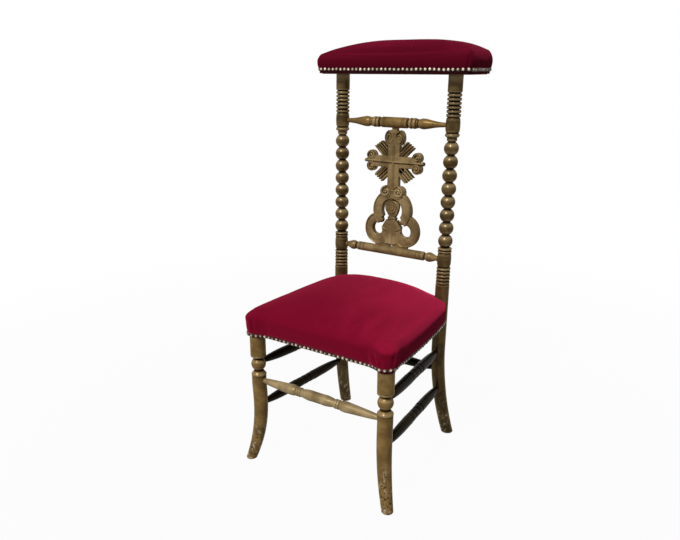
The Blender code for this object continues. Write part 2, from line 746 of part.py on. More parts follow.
def splat_finial():
    """A turned bud on a ringed neck and a bell, flattened to the thickness of the board."""
    neck_z = TREFOIL_ARCH_RISE - 0.78 * TREFOIL_ARCH_OPENING_R
    top = TREFOIL_ARCH_RISE + 0.90 * TREFOIL_ARCH_OPENING_R
    bulb = top - neck_z
    bell = neck_z - 0.5 * TREFOIL_LOBE_RISE
    points = [(0.0, top), (0.6 * FINIAL_BULB_R, top - 0.04 * bulb), (0.92 * FINIAL_BULB_R, top - 0.2 * bulb)]
    points += [(FINIAL_BULB_R, top - 0.42 * bulb), (0.85 * FINIAL_BULB_R, top - 0.68 * bulb)]
    points += [(FINIAL_NECK_R, top - 0.95 * bulb), (1.2 * FINIAL_NECK_R, neck_z)]
    points += [(1.2 * FINIAL_NECK_R, neck_z - 0.06 * bell), (FINIAL_NECK_R, neck_z - 0.10 * bell)]
    points += [(1.2 * FINIAL_NECK_R, neck_z - 0.14 * bell), (1.2 * FINIAL_NECK_R, neck_z - 0.20 * bell)]
    points += [(0.7 * FINIAL_BELL_R, neck_z - 0.30 * bell), (FINIAL_BELL_R, neck_z - 0.75 * bell)]
    points += [(FINIAL_BELL_R, neck_z - bell), (0.0, neck_z - bell)]
    mesh = turned(points, LEG_FACETS)
    for vertex in mesh.vertices:
        vertex.co.y *= FINIAL_FLATNESS
    return helper("finial", mesh, carvings)


def splat_cross(height):
    """The cross with its ridge, the volutes at its four ends and the rays between its arms."""
    cross_z = height - CROSS_DROP
    top_z = height - TOP_VOLUTE_DROP
    stem_bottom = TREFOIL_ARCH_RISE + TREFOIL_ARCH_OPENING_R + 0.2 * (TREFOIL_ARCH_R - TREFOIL_ARCH_OPENING_R)
    stem = top_z - stem_bottom
    adds = [carving_box((0.0, 0.0, stem_bottom + stem / 2), (2 * STEM_X, 0.92 * SPLAT_THICK, stem))]
    adds.append(carving_box((0.0, 0.0, cross_z), (2 * CROSS_ARM, 0.90 * SPLAT_THICK, CROSS_ARM_HEIGHT)))
    front = -0.46 * SPLAT_THICK
    ridge = math.sqrt(2) * RIDGE_R
    upright_middle = (0.0, front, stem_bottom + 0.56 * stem)
    upright = carving_box(upright_middle, (ridge, ridge, 0.86 * stem), roll=math.pi / 4)
    level = carving_box((0.0, front, cross_z), (2.3 * CROSS_ARM, ridge, ridge))
    level.rotation_euler.x = math.pi / 4
    adds += [upright, level]
    for side in (-1, 1):
        base_x = side * BASE_VOLUTE_X
        adds.append(carving_disc(base_x, BASE_VOLUTE_RISE, BASE_VOLUTE_R, 1.10 * SPLAT_THICK))
        face = -0.55 * SPLAT_THICK
        adds.append(carving_scroll(base_x, BASE_VOLUTE_RISE, BASE_VOLUTE_R, -side, 90.0, face))
        for lift in (-1, 1):
            arm_z = cross_z + lift * ARM_VOLUTE_RISE
            arm_x = side * CROSS_ARM
            adds.append(carving_disc(arm_x, arm_z, ARM_VOLUTE_R, 1.06 * SPLAT_THICK))
            start = 90.0 - side * (90.0 if lift > 0 else -90.0)
            face = -0.53 * SPLAT_THICK
            adds.append(carving_scroll(arm_x, arm_z, ARM_VOLUTE_R, side * lift, start, face))
            adds += splat_rays(cross_z, side, lift)
        knob_x = side * (CROSS_ARM + ARM_VOLUTE_R + 0.5 * ARM_KNOB_R)
        neck = (ARM_VOLUTE_R + ARM_KNOB_R, 0.70 * SPLAT_THICK, 1.5 * ARM_KNOB_R)
        adds.append(carving_box((knob_x - side * neck[0] / 2, 0.0, cross_z), neck))
        adds.append(carving_disc(knob_x, cross_z, ARM_KNOB_R, 0.80 * SPLAT_THICK))
        top_x = side * TOP_VOLUTE_X
        adds.append(carving_disc(top_x, top_z, TOP_VOLUTE_R, 1.02 * SPLAT_THICK, TOP_VOLUTE_STRETCH))
        adds.append(carving_scroll(top_x, top_z, TOP_VOLUTE_R, side, 90.0, -0.51 * SPLAT_THICK))
    return adds


def splat_rays(cross_z, side, lift):
    """One bundle of stepped rays between two arms of the cross."""
    lean = math.radians(RAY_ANGLE)
    rays = []
    for i in range(RAYS):
        longest = RAY_REACH_UP if lift > 0 else RAY_REACH_DOWN
        reach = longest - i * RAY_STEP
        inner = 0.25 * longest
        across = (0.5 * (RAYS - 1) - i) * RAY_WIDTH
        middle = (inner + reach) / 2
        x = side * (middle * math.cos(lean) + across * math.sin(lean))
        z = cross_z + lift * (middle * math.sin(lean) - across * math.cos(lean))
        depth = (0.64 + 0.07 * (i % 2)) * SPLAT_THICK
        width = RAY_WIDTH * (1.04 + 0.01 * i)
        rays.append(carving_box((x, 0.0, z), (reach - inner, depth, width), -side * lift * lean))
    return rays


def splat(gap):
    """The carved board, from the lower spindle's axis up to the upper one's, gap apart."""
    board = carving_disc(0.0, TREFOIL_ARCH_RISE, TREFOIL_ARCH_R, SPLAT_THICK)
    foot_bottom = 0.6 * LOWER_SPINDLE_R
    foot_size = (2 * SPLAT_FOOT_X, 0.98 * SPLAT_THICK, TREFOIL_LOBE_RISE - foot_bottom)
    foot = carving_box((0.0, 0.0, (TREFOIL_LOBE_RISE + foot_bottom) / 2), foot_size)
    boolean(board, foot, "UNION")
    for side in (-1, 1):
        lobe_x = side * TREFOIL_LOBE_X
        lobe = carving_disc(lobe_x, TREFOIL_LOBE_RISE, TREFOIL_LOBE_R, 0.99 * SPLAT_THICK,
                            TREFOIL_LOBE_STRETCH)
        boolean(board, lobe, "UNION")
    tab_top = gap - 0.6 * UPPER_SPINDLE_R
    tab_bottom = gap - TOP_VOLUTE_DROP
    tab_size = (2 * TOP_TAB_X, 0.95 * SPLAT_THICK, tab_top - tab_bottom)
    tab = carving_box((0.0, 0.0, (tab_bottom + tab_top) / 2), tab_size)
    for item in splat_cross(gap) + [tab]:
        boolean(board, item, "UNION")
    for item in splat_openings(gap):
        boolean(board, item)
    boolean(board, splat_finial(), "UNION")
    for z, radius in ((0.0, LOWER_SPINDLE_R), (gap, UPPER_SPINDLE_R)):
        scribe = helper("scribe", rod_mesh(radius + FIT, 4 * SPLAT_FOOT_X, SCRIBE_FACETS), carvings)
        scribe.location = (0.0, -SPLAT_SET_BACK, z)
        scribe.rotation_euler.y = math.pi / 2
        boolean(board, scribe)
    lower_tongues, upper_tongues = splat_tongues(gap)
    for x, width, tip, root in lower_tongues + upper_tongues:
        size = (width, SPLAT_TONGUE, abs(root - tip))
        boolean(board, carving_box((x, 0.0, (root + tip) / 2), size), "UNION")
    bpy.context.view_layer.update()
    return bake(board)


def splat_tongues(gap):
    """Place, width, tip and root heights of the tongues let into the lower and the upper spindle."""
    lower_tip = LOWER_SPINDLE_R - SPLAT_TONGUE_DEPTH
    lower_root = lower_tip + 2 * SPLAT_TONGUE_DEPTH
    upper_tip = gap - UPPER_SPINDLE_R + SPLAT_TONGUE_DEPTH
    upper_root = upper_tip - 2 * SPLAT_TONGUE_DEPTH
    lower = [(side * SPLAT_TONGUE_X, SPLAT_TONGUE_WIDTH, lower_tip, lower_root) for side in (-1, 1)]
    return lower, [(0.0, 1.6 * TOP_TAB_X, upper_tip, upper_root)]


# Upholstery

def ray_circle(direction, start, centre, radius):
    """Distances at which a ray from start enters and leaves a circle, or None if it misses."""
    to_centre = centre - start
    nearest = direction.dot(to_centre)
    spare = radius ** 2 - (to_centre.length_squared - nearest ** 2)
    if spare < 0.0:
        return None
    half = math.sqrt(spare)
    return nearest - half, nearest + half


def seat_ray(angle):
    """The seat's middle and the direction of a ray from it, folded over to the right half."""
    return Vector((0.0, SEAT_MIDDLE_Y)), Vector((abs(math.cos(angle)), math.sin(angle)))


def side_reaches(angle, grow):
    """Distances along a ray to the lines that lie grow outside the rails' outer faces."""
    middle, direction = seat_ray(angle)
    leg = Vector((FRONT_LEG_X, FRONT_LEG_Y))
    run = post_axis(RAIL_MIDDLE).to_2d() - leg
    normal = Vector((run.y, -run.x)).normalized()
    reaches = []
    across = normal.dot(direction)
    if across > 0.0:
        reach = (normal.dot(leg - middle) + RAIL_SIDE_OUT + grow) / across
        along = (middle + reach * direction - leg).dot(run) / run.length_squared
        reaches.append(reach + RAIL_SIDE_BOW * bow_share(along) / across)
    if direction.y < 0.0:
        reaches.append((leg.y - RAIL_FRONT_OUT - grow - middle.y) / direction.y)
    if direction.y > 0.0:
        rear = post_axis(RAIL_MIDDLE).y + RAIL_REAR_OUT + grow
        reaches.append((rear - middle.y) / direction.y)
    return reaches


def notched(angle, reach, grow, z):
    """A reach held back in front of the back posts."""
    middle, direction = seat_ray(angle)
    post = post_axis(z).to_2d()
    notch = ray_circle(direction, middle, post, POST_R + SLIT + SEAT_SKIN - min(grow, SEAT_SKIN))
    return min(reach, notch[0]) if notch else reach


def seat_reach(angle, grow, z):
    """Distance from the seat's middle to an outline that lies grow outside the rails' outer faces.

    The outline bulges round the front legs and is notched round the back posts.
    """
    middle, direction = seat_ray(angle)
    reach = min(side_reaches(angle, grow))
    ear = ray_circle(direction, middle, Vector((FRONT_LEG_X, FRONT_LEG_Y)), LEG_R + SLIT + grow)
    if ear:
        reach = max(reach, ear[1])
    return notched(angle, reach, grow, z)


def dome_reach(angle, grow, z):
    """As seat_reach, for the seat above its legs: the front corners are round and have no bulge."""
    near = sum(reach ** -SEAT_CORNER_POWER for reach in side_reaches(angle, grow))
    return notched(angle, near ** (-1.0 / SEAT_CORNER_POWER), grow, z)


def seat_corner(centre, radius):
    """Direction from the seat's middle to a leg, and half the angle that it fills."""
    offset = centre - Vector((0.0, SEAT_MIDDLE_Y))
    return math.atan2(offset.y, offset.x), math.asin(radius / offset.length)


def spread(start, end, count):
    """Values strictly between two others, evenly spaced."""
    return [start + (end - start) * (i + 1) / (count + 1) for i in range(count)]


def seat_angles():
    """Ray directions round the seat, close together at the legs and posts."""
    leg, leg_half = seat_corner(Vector((FRONT_LEG_X, FRONT_LEG_Y)), LEG_R + SLIT + SEAT_SKIN)
    post, post_half = seat_corner(post_axis(RAIL_MIDDLE).to_2d(), POST_R + SLIT + SEAT_SKIN)
    steps = (-0.98, -0.8, -0.5, 0.0, 0.5, 0.8, 0.98)
    ear = [leg + leg_half * share for share in (-1.3, *steps, 1.3)]
    beside = (1.06, 1.12, 1.6, 2.2)
    notch = [post + post_half * share for share in (*[-b for b in reversed(beside)], *steps, *beside)]
    right = spread(-math.pi / 2, ear[0], 3) + ear + spread(ear[-1], notch[0], 4) + notch
    right += spread(notch[-1], math.pi / 2, 2)
    left = [math.pi - angle for angle in reversed(right)]
    return [-math.pi / 2] + right + [math.pi / 2] + left


def from_corner(angle, centre, radius):
    """How far a direction lies from a leg or post, in half widths of that leg."""
    corner, half = seat_corner(centre, radius + SLIT + SEAT_SKIN)
    mirrored = math.atan2(math.sin(angle), abs(math.cos(angle)))
    return abs(mirrored - corner) / half


def from_post(angle):
    return from_corner(angle, post_axis(RAIL_MIDDLE).to_2d(), POST_R)


def fullness(angle):
    """1 where the stuffing can swell, less over the front legs and 0 at the posts."""
    from_leg = from_corner(angle, Vector((FRONT_LEG_X, FRONT_LEG_Y)), LEG_R)
    at_post, at_leg = (min(1.0, max(0.0, (away - NOTCH_EDGE) / NOTCH_FADE))
                       for away in (from_post(angle), from_leg))
    return min(at_post, SEAT_EAR_SHARE + (1.0 - SEAT_EAR_SHARE) * at_leg)


def post_dip(angle):
    """How far the seat sinks toward the posts at its edge."""
    return SEAT_POST_DIP * max(0.0, 1.0 - from_post(angle) / SEAT_DIP_SPREAD)


def cover_edge(angle):
    """Height of the cover's edge, which is slit down to the rails' tops at the posts."""
    return RAIL_TOP + SLIT if from_post(angle) < NOTCH_EDGE else RAIL_BOTTOM + SEAT_EDGE_RISE


def seat_point(angle, reach, z):
    return Vector((reach * math.cos(angle), SEAT_MIDDLE_Y + reach * math.sin(angle), z))


def seat_side(grow, level):
    """A ring of the seat at a level, with grow and level given as functions of the direction."""
    ring = []
    for angle in seat_angles():
        z = level(angle)
        ring.append(seat_point(angle, seat_reach(angle, grow(angle), z), z))
    return ring


def crown_share(point, grow):
    """How much of the crown's height the seat has over a point: 1 in the middle, 0 along the edges."""
    post = post_axis(RAIL_MIDDLE)
    along_side = (point.y - FRONT_LEG_Y) / (post.y - FRONT_LEG_Y)
    half = FRONT_LEG_X + (post.x - FRONT_LEG_X) * along_side + RAIL_SIDE_OUT + grow
    front = SEAT_MIDDLE_Y - FRONT_LEG_Y + RAIL_FRONT_OUT + grow
    rear = post.y + RAIL_REAR_OUT + grow - SEAT_MIDDLE_Y
    across = min(1.0, abs(point.x) / half)
    deep = min(1.0, abs(point.y - SEAT_MIDDLE_Y) / (front if point.y < SEAT_MIDDLE_Y else rear))
    return (1.0 - across ** SEAT_CROWN_POWER) * (1.0 - deep ** SEAT_CROWN_POWER)


def seat_dome(inset):
    """Rings of the seat's upper side from the shoulder inward, and the crown's middle."""
    shoulder_z = RAIL_TOP + SEAT_SHOULDER - inset
    grow = SEAT_SKIN - inset - 0.4 * SEAT_BULGE
    wide = dome_reach(0.0, grow, shoulder_z)
    rings = []
    for share in (1.0, 0.92, 0.76, 0.5, 0.25):
        blend = share ** 4
        ring = []
        for angle in seat_angles():
            edge = dome_reach(angle, grow, shoulder_z)
            deep = dome_reach(math.copysign(math.pi / 2, math.sin(angle)), grow, shoulder_z)
            oval = 1.0 / ((abs(math.cos(angle)) / wide) ** 3 + (abs(math.sin(angle)) / deep) ** 3) ** (1 / 3)
            point = seat_point(angle, share * (blend * edge + (1.0 - blend) * oval), shoulder_z)
            point.z += SEAT_CROWN * crown_share(point, grow) - blend * post_dip(angle)
            ring.append(point)
        rings.append(ring)
    return rings, Vector((0.0, SEAT_MIDDLE_Y, shoulder_z + SEAT_CROWN))


def seat_skin_rings(inset):
    """Rings of the seat cover, from its nailed edge up, moved inward by inset."""
    side_top = RAIL_TOP + SEAT_SIDE_TOP * SEAT_SHOULDER
    rings = []
    for share, rise in ((0.0, 0.0), (0.1, 0.30), (0.85, 0.62), (0.85, 1.0)):
        rings.append(seat_side(lambda a: SEAT_SKIN - inset + share * SEAT_BULGE * fullness(a),
                               lambda a: cover_edge(a) + rise * (side_top - cover_edge(a))))
    dome, apex = seat_dome(inset)
    return rings + dome, apex


def seat_stuffing_mesh():
    """The stuffing: a dome on the hessian, with a lip that rolls over the rails' outer edges."""
    angles = seat_angles()
    free = [fullness(angle) >= SEAT_LIP_START for angle in angles]
    lips = {}
    for i, angle in enumerate(angles):
        clear = free[i - 1] and free[i] and free[(i + 1) % len(angles)]
        lips[angle] = SEAT_LIP * fullness(angle) if clear else 0.0

    def lip_level(angle):
        return STUFFING_Z - SLIT - lips[angle]

    def inner(angle):
        return FIT if fullness(angle) >= SEAT_LIP_START else -COVER_THICK

    def roll_level(angle):
        return RAIL_TOP + SEAT_SIDE_TOP * SEAT_SHOULDER

    under = seat_side(inner, lambda a: STUFFING_Z)
    lip = seat_side(inner, lip_level)
    edge = seat_side(lambda a: 0.4 * SEAT_BULGE * fullness(a) - FIT, lip_level)
    roll = seat_side(lambda a: 0.7 * SEAT_BULGE * fullness(a) - FIT, roll_level)
    dome, apex = seat_dome(SEAT_SKIN + SLIT)
    return skin_mesh(skin([under, lip, edge, roll] + dome, apex))


def strap_mesh(length, stops, first):
    """A webbing strap along X that rides over and under the straps it crosses."""
    path = [(-length / 2, -1.0)]
    for i, stop in enumerate(stops):
        level = first * (-1.0) ** i
        path += [(stop - 0.55 * WEB_WIDTH, level), (stop + 0.55 * WEB_WIDTH, level)]
    path.append((length / 2, -1.0))
    rings = []
    for x, level in path:
        z = level * WEB_STEP
        corners = ((-0.5, -0.5), (0.5, -0.5), (0.5, 0.5), (-0.5, 0.5))
        rings.append([Vector((x, y * WEB_WIDTH, z + h * WEB_THICK)) for y, h in corners])
    solid = skin(rings)
    solid.verts.ensure_lookup_table()
    solid.faces.new(solid.verts[-4:])
    return skin_mesh(solid)


def webbing():
    """Three straps each way, plaited through one another on top of the rails."""
    places = (-1, 0, 1)
    names_x = ("left", "middle", "right")
    names_y = ("front", "middle", "rear")
    rear_y = post_axis(RAIL_MIDDLE).y + RAIL_REAR_OUT - RAIL_THICK / 2
    front_y = FRONT_LEG_Y - RAIL_FRONT_OUT + RAIL_THICK / 2
    centre_y = (front_y + rear_y) / 2
    leg = front_leg_axis(RAIL_MIDDLE)
    post = post_axis(RAIL_MIDDLE)
    for i, place in zip(places, names_x):
        mesh = strap_mesh(rear_y - front_y, [k * WEB_PITCH_Y for k in places], (-1.0) ** (i + 1))
        strap = part("web_strap_long_" + place, mesh, jute)
        strap.location = (i * WEB_PITCH_X, centre_y, WEB_Z)
        strap.rotation_euler.z = math.pi / 2
    for k, place in zip(places, names_y):
        y = centre_y + k * WEB_PITCH_Y
        share = (y - leg.y) / (post.y - leg.y)
        half = leg.x + (post.x - leg.x) * share + RAIL_SIDE_OUT - RAIL_THICK / 2
        mesh = strap_mesh(2 * half, [i * WEB_PITCH_X for i in places], (-1.0) ** k)
        strap = part("web_strap_cross_" + place, mesh, jute)
        strap.location = (0.0, y, WEB_Z)


def seat_upholstery():
    webbing()
    sheet = [(seat_reach(a, -HESSIAN_INSET, RAIL_TOP), a) for a in seat_angles()]
    outline = [(reach * math.cos(a), SEAT_MIDDLE_Y + reach * math.sin(a)) for reach, a in sheet]
    hessian = part("seat_hessian", slab(outline, HESSIAN_THICK), sacking)
    hessian.location.z = HESSIAN_Z + HESSIAN_THICK / 2
    part("seat_stuffing", seat_stuffing_mesh(), horsehair)
    outer, outer_apex = seat_skin_rings(0.0)
    inner, inner_apex = seat_skin_rings(COVER_THICK)
    part("seat_cover", shell_mesh(outer, outer_apex, inner, inner_apex), velvet)


def crest_outline(grow):
    """Rounded rectangle of the crest board, moved out by grow, as the arcs of its four corners."""
    radius = CREST_CORNER_R + grow
    arcs = []
    for sign_x, sign_y, first in ((1, -1, -90.0), (1, 1, 0.0), (-1, 1, 90.0), (-1, -1, 180.0)):
        centre_x = sign_x * (CREST_HALF_X - CREST_CORNER_R)
        centre_y = sign_y * (CREST_HALF_Y - CREST_CORNER_R)
        turns = [math.radians(first + 22.5 * i) for i in range(5)]
        arcs.append([(centre_x + radius * math.cos(a), centre_y + radius * math.sin(a)) for a in turns])
    return arcs


def crest_ring(grow, z, share=1.0):
    """A ring of the pad: the corner arcs, with points along the edges between them."""
    ring = []
    for i, arc in enumerate(crest_outline(grow)):
        last_x, last_y = arc[-1]
        on_edge = [(last_x, 0.0)] if i % 2 == 0 else [(last_x * t, last_y) for t in (0.5, 0.0, -0.5)]
        ring += [Vector((share * x, share * y, z)) for x, y in arc + on_edge]
    return ring


def crest_dome(inset):
    """Rings of the crest pad from its swollen side over a round shoulder to the crown, and its middle."""
    arc_middle = SEAT_SKIN + CREST_BULGE - CREST_ROUND
    arc_z = CREST_TOP + CREST_SHOULDER - CREST_ROUND
    rings = []
    for share in (0.0, 0.5, 1.0):
        lean = math.radians(share * CREST_ROUND_END)
        grow = arc_middle + (CREST_ROUND - inset) * math.cos(lean)
        start_z = arc_z + (CREST_ROUND - inset) * math.sin(lean)
        rings.append(crest_ring(grow, start_z))
    top_z = CREST_TOP + CREST_SHOULDER + CREST_CROWN - inset
    for share in (0.93, 0.8, 0.55, 0.28):
        ring = crest_ring(grow, start_z, share)
        for point in ring:
            point.z += (top_z - start_z) * (1.0 - share ** CREST_CROWN_POWER)
        rings.append(ring)
    return rings, Vector((0.0, 0.0, top_z))


def crest_cover_rings(inset):
    tight = SEAT_SKIN - inset
    dome, apex = crest_dome(inset)
    foot = [crest_ring(tight, CREST_BOARD_Z + SEAT_EDGE_RISE)]
    foot.append(crest_ring(tight, CREST_BOARD_Z + 0.6 * CREST_BOARD))
    foot.append(crest_ring(tight + 0.7 * CREST_BULGE, CREST_TOP + 0.1 * CREST_SHOULDER))
    return foot + dome, apex


def crest():
    """Board, stuffing and cover of the arm pad, carried on the tenons of the two posts."""
    place = Vector((0.0, post_axis(POST_TOP).y + CREST_SET_BACK, 0.0))
    outline = [point for arc in crest_outline(0.0) for point in arc]
    board = part("crest_board", slab(outline, CREST_BOARD), gilt)
    board.location = place + Vector((0.0, 0.0, CREST_BOARD_Z + CREST_BOARD / 2))
    dome, apex = crest_dome(SEAT_SKIN + FIT)
    base = crest_ring(0.5 * CREST_BULGE, CREST_TOP + FIT)
    stuffing = part("crest_stuffing", skin_mesh(skin([base] + dome, apex)), horsehair)
    outer, outer_apex = crest_cover_rings(0.0)
    inner, inner_apex = crest_cover_rings(COVER_THICK)
    cover = part("crest_cover", shell_mesh(outer, outer_apex, inner, inner_apex), velvet)
    stuffing.location = place
    cover.location = place
    return board


# The chair

remove_everything()
chair = new_collection("prayer_chair")
cutters = new_collection("cutters")
carvings = new_collection("splat_carvings")
gilt = finish("gilt_wood", (0.30, 0.20, 0.085), 0.38, 0.55)
beech = finish("bare_beech", (0.42, 0.27, 0.15), 0.7)
velvet = finish("crimson_velvet", (0.30, 0.008, 0.035), 0.85)
horsehair = finish("horsehair_stuffing", (0.16, 0.11, 0.07), 0.95)
jute = finish("jute_webbing", (0.45, 0.34, 0.20), 0.9)
sacking = finish("hessian", (0.50, 0.40, 0.26), 0.95)

legs = {}
posts = {}
for label, sign in SIDES:
    legs[label] = swept_leg("front_leg_" + label, front_leg_profile(), front_leg_axis, sign)
    posts[label] = swept_leg("back_post_" + label, post_profile(), post_axis, sign)

# Stretchers between the legs
LEG_POINT = {z: front_leg_axis(z) for z in (FRONT_STRETCHER_Z, SIDE_UPPER_FRONT_Z, SIDE_LOWER_Z)}
POST_POINT = {z: post_axis(z) for z in (REAR_STRETCHER_Z, SIDE_UPPER_REAR_Z, SIDE_LOWER_Z)}
front_end = LEG_POINT[FRONT_STRETCHER_Z]
bore = turned_bar("front_stretcher", on_side(front_end, -1), front_end, LEG_SHAFT_R, LEG_SHAFT_R,
                  STRETCHER_TENON, STRETCHER_END_R, front_turning)[1]
boolean(legs["left"], bore)
boolean(legs["right"], bore)
rear_end = POST_POINT[REAR_STRETCHER_Z]
bore = turned_bar("rear_stretcher", on_side(rear_end, -1), rear_end, POST_R, POST_R,
                  STRETCHER_TENON, STRETCHER_END_R, side_turning)[1]
boolean(posts["left"], bore)
boolean(posts["right"], bore)
for label, sign in SIDES:
    runs = (("upper", SIDE_UPPER_FRONT_Z, SIDE_UPPER_REAR_Z, LEG_BALL_R),
            ("lower", SIDE_LOWER_Z, SIDE_LOWER_Z, LEG_SHAFT_R))
    for level, front_z, rear_z, radius in runs:
        start = on_side(LEG_POINT[front_z], sign)
        end = on_side(POST_POINT[rear_z], sign)
        bore = turned_bar("side_stretcher_%s_%s" % (level, label), start, end, radius, POST_R,
                          STRETCHER_TENON, STRETCHER_END_R, side_turning)[1]
        boolean(legs[label], bore)
        boolean(posts[label], bore)

# Spindles and splat between the back posts
rake = math.atan(POST_RAKE)
spindles = {}
for level, z, end_r, turning in (("upper", UPPER_SPINDLE_Z, UPPER_SPINDLE_END_R, upper_spindle_turning),
                                 ("lower", LOWER_SPINDLE_Z, LOWER_SPINDLE_END_R, lower_spindle_turning)):
    end = post_axis(z)
    spindles[level], bore = turned_bar(level + "_spindle", on_side(end, -1), end, POST_R, POST_R,
                                       SPINDLE_TENON, end_r, turning)
    boolean(posts["left"], bore)
    boolean(posts["right"], bore)
lower_middle = Vector((0.0, post_axis(LOWER_SPINDLE_Z).y, LOWER_SPINDLE_Z))
upper_middle = Vector((0.0, post_axis(UPPER_SPINDLE_Z).y, UPPER_SPINDLE_Z))
spindle_gap = (upper_middle - lower_middle).length
splat_place = lower_middle + Vector((0.0, SPLAT_SET_BACK * math.cos(rake), -SPLAT_SET_BACK * math.sin(rake)))
carved = part("back_splat", splat(spindle_gap), gilt)
carved.location = splat_place
carved.rotation_euler.x = -rake
for level, tongues in zip(("lower", "upper"), splat_tongues(spindle_gap)):
    for x, width, tip, root in tongues:
        shift = (x, 0.0, (tip + root) / 2)
        size = (width + 2 * FIT, SPLAT_TONGUE + 2 * FIT, abs(root - tip) + 2 * FIT)
        mortise = helper(level + "_mortise", box_mesh(size, shift), cutters)
        mortise.location = splat_place
        mortise.rotation_euler.x = -rake
        boolean(spindles[level], mortise)
for item in list(carvings.objects):
    bpy.data.objects.remove(item)

# Seat rails, each drawn from one leg centre to the next so that its right hand side is outward
corner = front_leg_axis(RAIL_MIDDLE)
back = post_axis(RAIL_MIDDLE)
mortise, front_room = rail("seat_rail_front", on_side(corner, -1), corner, RAIL_FRONT_OUT, 0.0,
                           (LEG_R, LEG_R), [])
boolean(legs["left"], mortise)
boolean(legs["right"], mortise)
mortise, rear_room = rail("seat_rail_rear", back, on_side(back, -1), RAIL_REAR_OUT, 0.0,
                          (POST_R, POST_R), [])
boolean(posts["left"], mortise)
boolean(posts["right"], mortise)
side_runs = (("right", corner, back, (LEG_R, POST_R)),
             ("left", on_side(back, -1), on_side(corner, -1), (POST_R, LEG_R)))
for label, start, end, shoulders in side_runs:
    mortise = rail("seat_rail_" + label, start, end, RAIL_SIDE_OUT, RAIL_SIDE_BOW, shoulders,
                   [front_room, rear_room])[0]
    boolean(legs[label], mortise)
    boolean(posts[label], mortise)

seat_upholstery()
board = crest()
for label, sign in SIDES:
    top = on_side(post_axis(POST_TOP), sign)
    hole = rod_mesh(POST_TENON_R + FIT, 2 * (POST_TENON + FIT), SCRIBE_FACETS)
    socket = helper("post_socket_" + label, hole, cutters)
    socket.location = (top.x, top.y, POST_TOP)
    socket.rotation_euler.x = -rake
    socket.rotation_euler.y = sign * math.atan(POST_FLARE)
    boolean(board, socket)
bpy.context.scene.collection.children.unlink(carvings)
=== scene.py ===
import math
import random

import bpy
from mathutils import Matrix, Vector
from mathutils.kdtree import KDTree


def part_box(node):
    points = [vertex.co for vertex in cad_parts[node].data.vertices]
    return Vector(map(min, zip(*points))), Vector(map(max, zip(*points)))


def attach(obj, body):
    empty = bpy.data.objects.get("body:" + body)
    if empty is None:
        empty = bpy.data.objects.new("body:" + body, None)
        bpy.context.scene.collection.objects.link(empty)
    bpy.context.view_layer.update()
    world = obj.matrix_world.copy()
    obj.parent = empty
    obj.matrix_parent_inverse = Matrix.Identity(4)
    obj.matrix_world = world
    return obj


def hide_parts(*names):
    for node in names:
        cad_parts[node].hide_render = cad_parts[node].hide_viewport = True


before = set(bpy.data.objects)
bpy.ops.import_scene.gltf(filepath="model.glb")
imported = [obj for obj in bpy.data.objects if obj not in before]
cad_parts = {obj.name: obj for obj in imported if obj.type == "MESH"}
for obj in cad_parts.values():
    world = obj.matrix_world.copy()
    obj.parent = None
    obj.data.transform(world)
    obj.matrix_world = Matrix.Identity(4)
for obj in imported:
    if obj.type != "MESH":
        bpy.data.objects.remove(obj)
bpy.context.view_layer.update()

# The chair faces -Y, +Z is up, and lengths are in metres

# Clearances and eased edges
FIT = 0.0003
SLIT = 0.0008
EASE = 0.0008

# Plan and sweep of the legs
FRONT_LEG_X = 0.1635
FRONT_LEG_Y = -0.1846
POST_X = 0.1360
POST_Y = 0.1067
POST_FLARE = 0.0068
POST_RAKE = 0.0244
REAR_SWEEP_TOP = 0.2426
REAR_SWEEP_OUT = 0.0152
REAR_SWEEP_BACK = 0.0510
REAR_SWEEP_POWER = 1.81
FRONT_SWEEP_TOP = 0.190
FRONT_SWEEP_OUT = 0.0186
FRONT_SWEEP_FORWARD = 0.0155
FRONT_SWEEP_POWER = 2.6
FRONT_BOW = 0.14

# Back posts, from the crest board down
POST_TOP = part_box("crest_board")[0].z - FIT
POST_R = 0.0159
POST_TENON_R = 0.0100
POST_TENON = 0.0140
TOP_SHAFT = 0.0370
UPPER_RINGS = 6
UPPER_RING_PITCH = 0.00845
LOWER_RINGS = 5
LOWER_RING_PITCH = 0.0081
RING_DEPTH = 0.0038
BARREL_HEIGHT = 0.0330
COLLAR_HEIGHT = 0.0080
COVE_HEIGHT = 0.0096
COVE_R = 0.0112
BEADS = 8
BEAD_PITCH = 0.0294
BEAD_R = 0.01635
LOWER_COLLAR_HEIGHT = 0.0125
REAR_FOOT_R = 0.0145
PLAIN_SHAFT_STOPS = (0.34, 0.29)
UPPER_RINGS_TOP = POST_TOP - TOP_SHAFT
UPPER_BARREL_TOP = UPPER_RINGS_TOP - UPPER_RINGS * UPPER_RING_PITCH
UPPER_SPINDLE_Z = UPPER_BARREL_TOP - BARREL_HEIGHT / 2
COLLAR_TOP = UPPER_BARREL_TOP - BARREL_HEIGHT
COVE_TOP = COLLAR_TOP - COLLAR_HEIGHT
BEADS_TOP = COVE_TOP - COVE_HEIGHT
LOWER_COLLAR_TOP = BEADS_TOP - BEADS * BEAD_PITCH
LOWER_BARREL_TOP = LOWER_COLLAR_TOP - LOWER_COLLAR_HEIGHT
LOWER_SPINDLE_Z = LOWER_BARREL_TOP - BARREL_HEIGHT / 2
LOWER_RINGS_TOP = LOWER_BARREL_TOP - BARREL_HEIGHT
SHAFT_TOP = LOWER_RINGS_TOP - LOWER_RINGS * LOWER_RING_PITCH

# Front legs
LEG_R = 0.0175
LEG_BALL_Z = 0.2381
LEG_BALL_R = 0.0165
LEG_NECK_R = 0.0100
LEG_NECK = 0.0060
LEG_CAP_RING = 0.0040
LEG_COLLAR = 0.0140
LEG_SHAFT_R = 0.0163
LEG_GROOVE = 0.0012
FRONT_FOOT_R = 0.0125

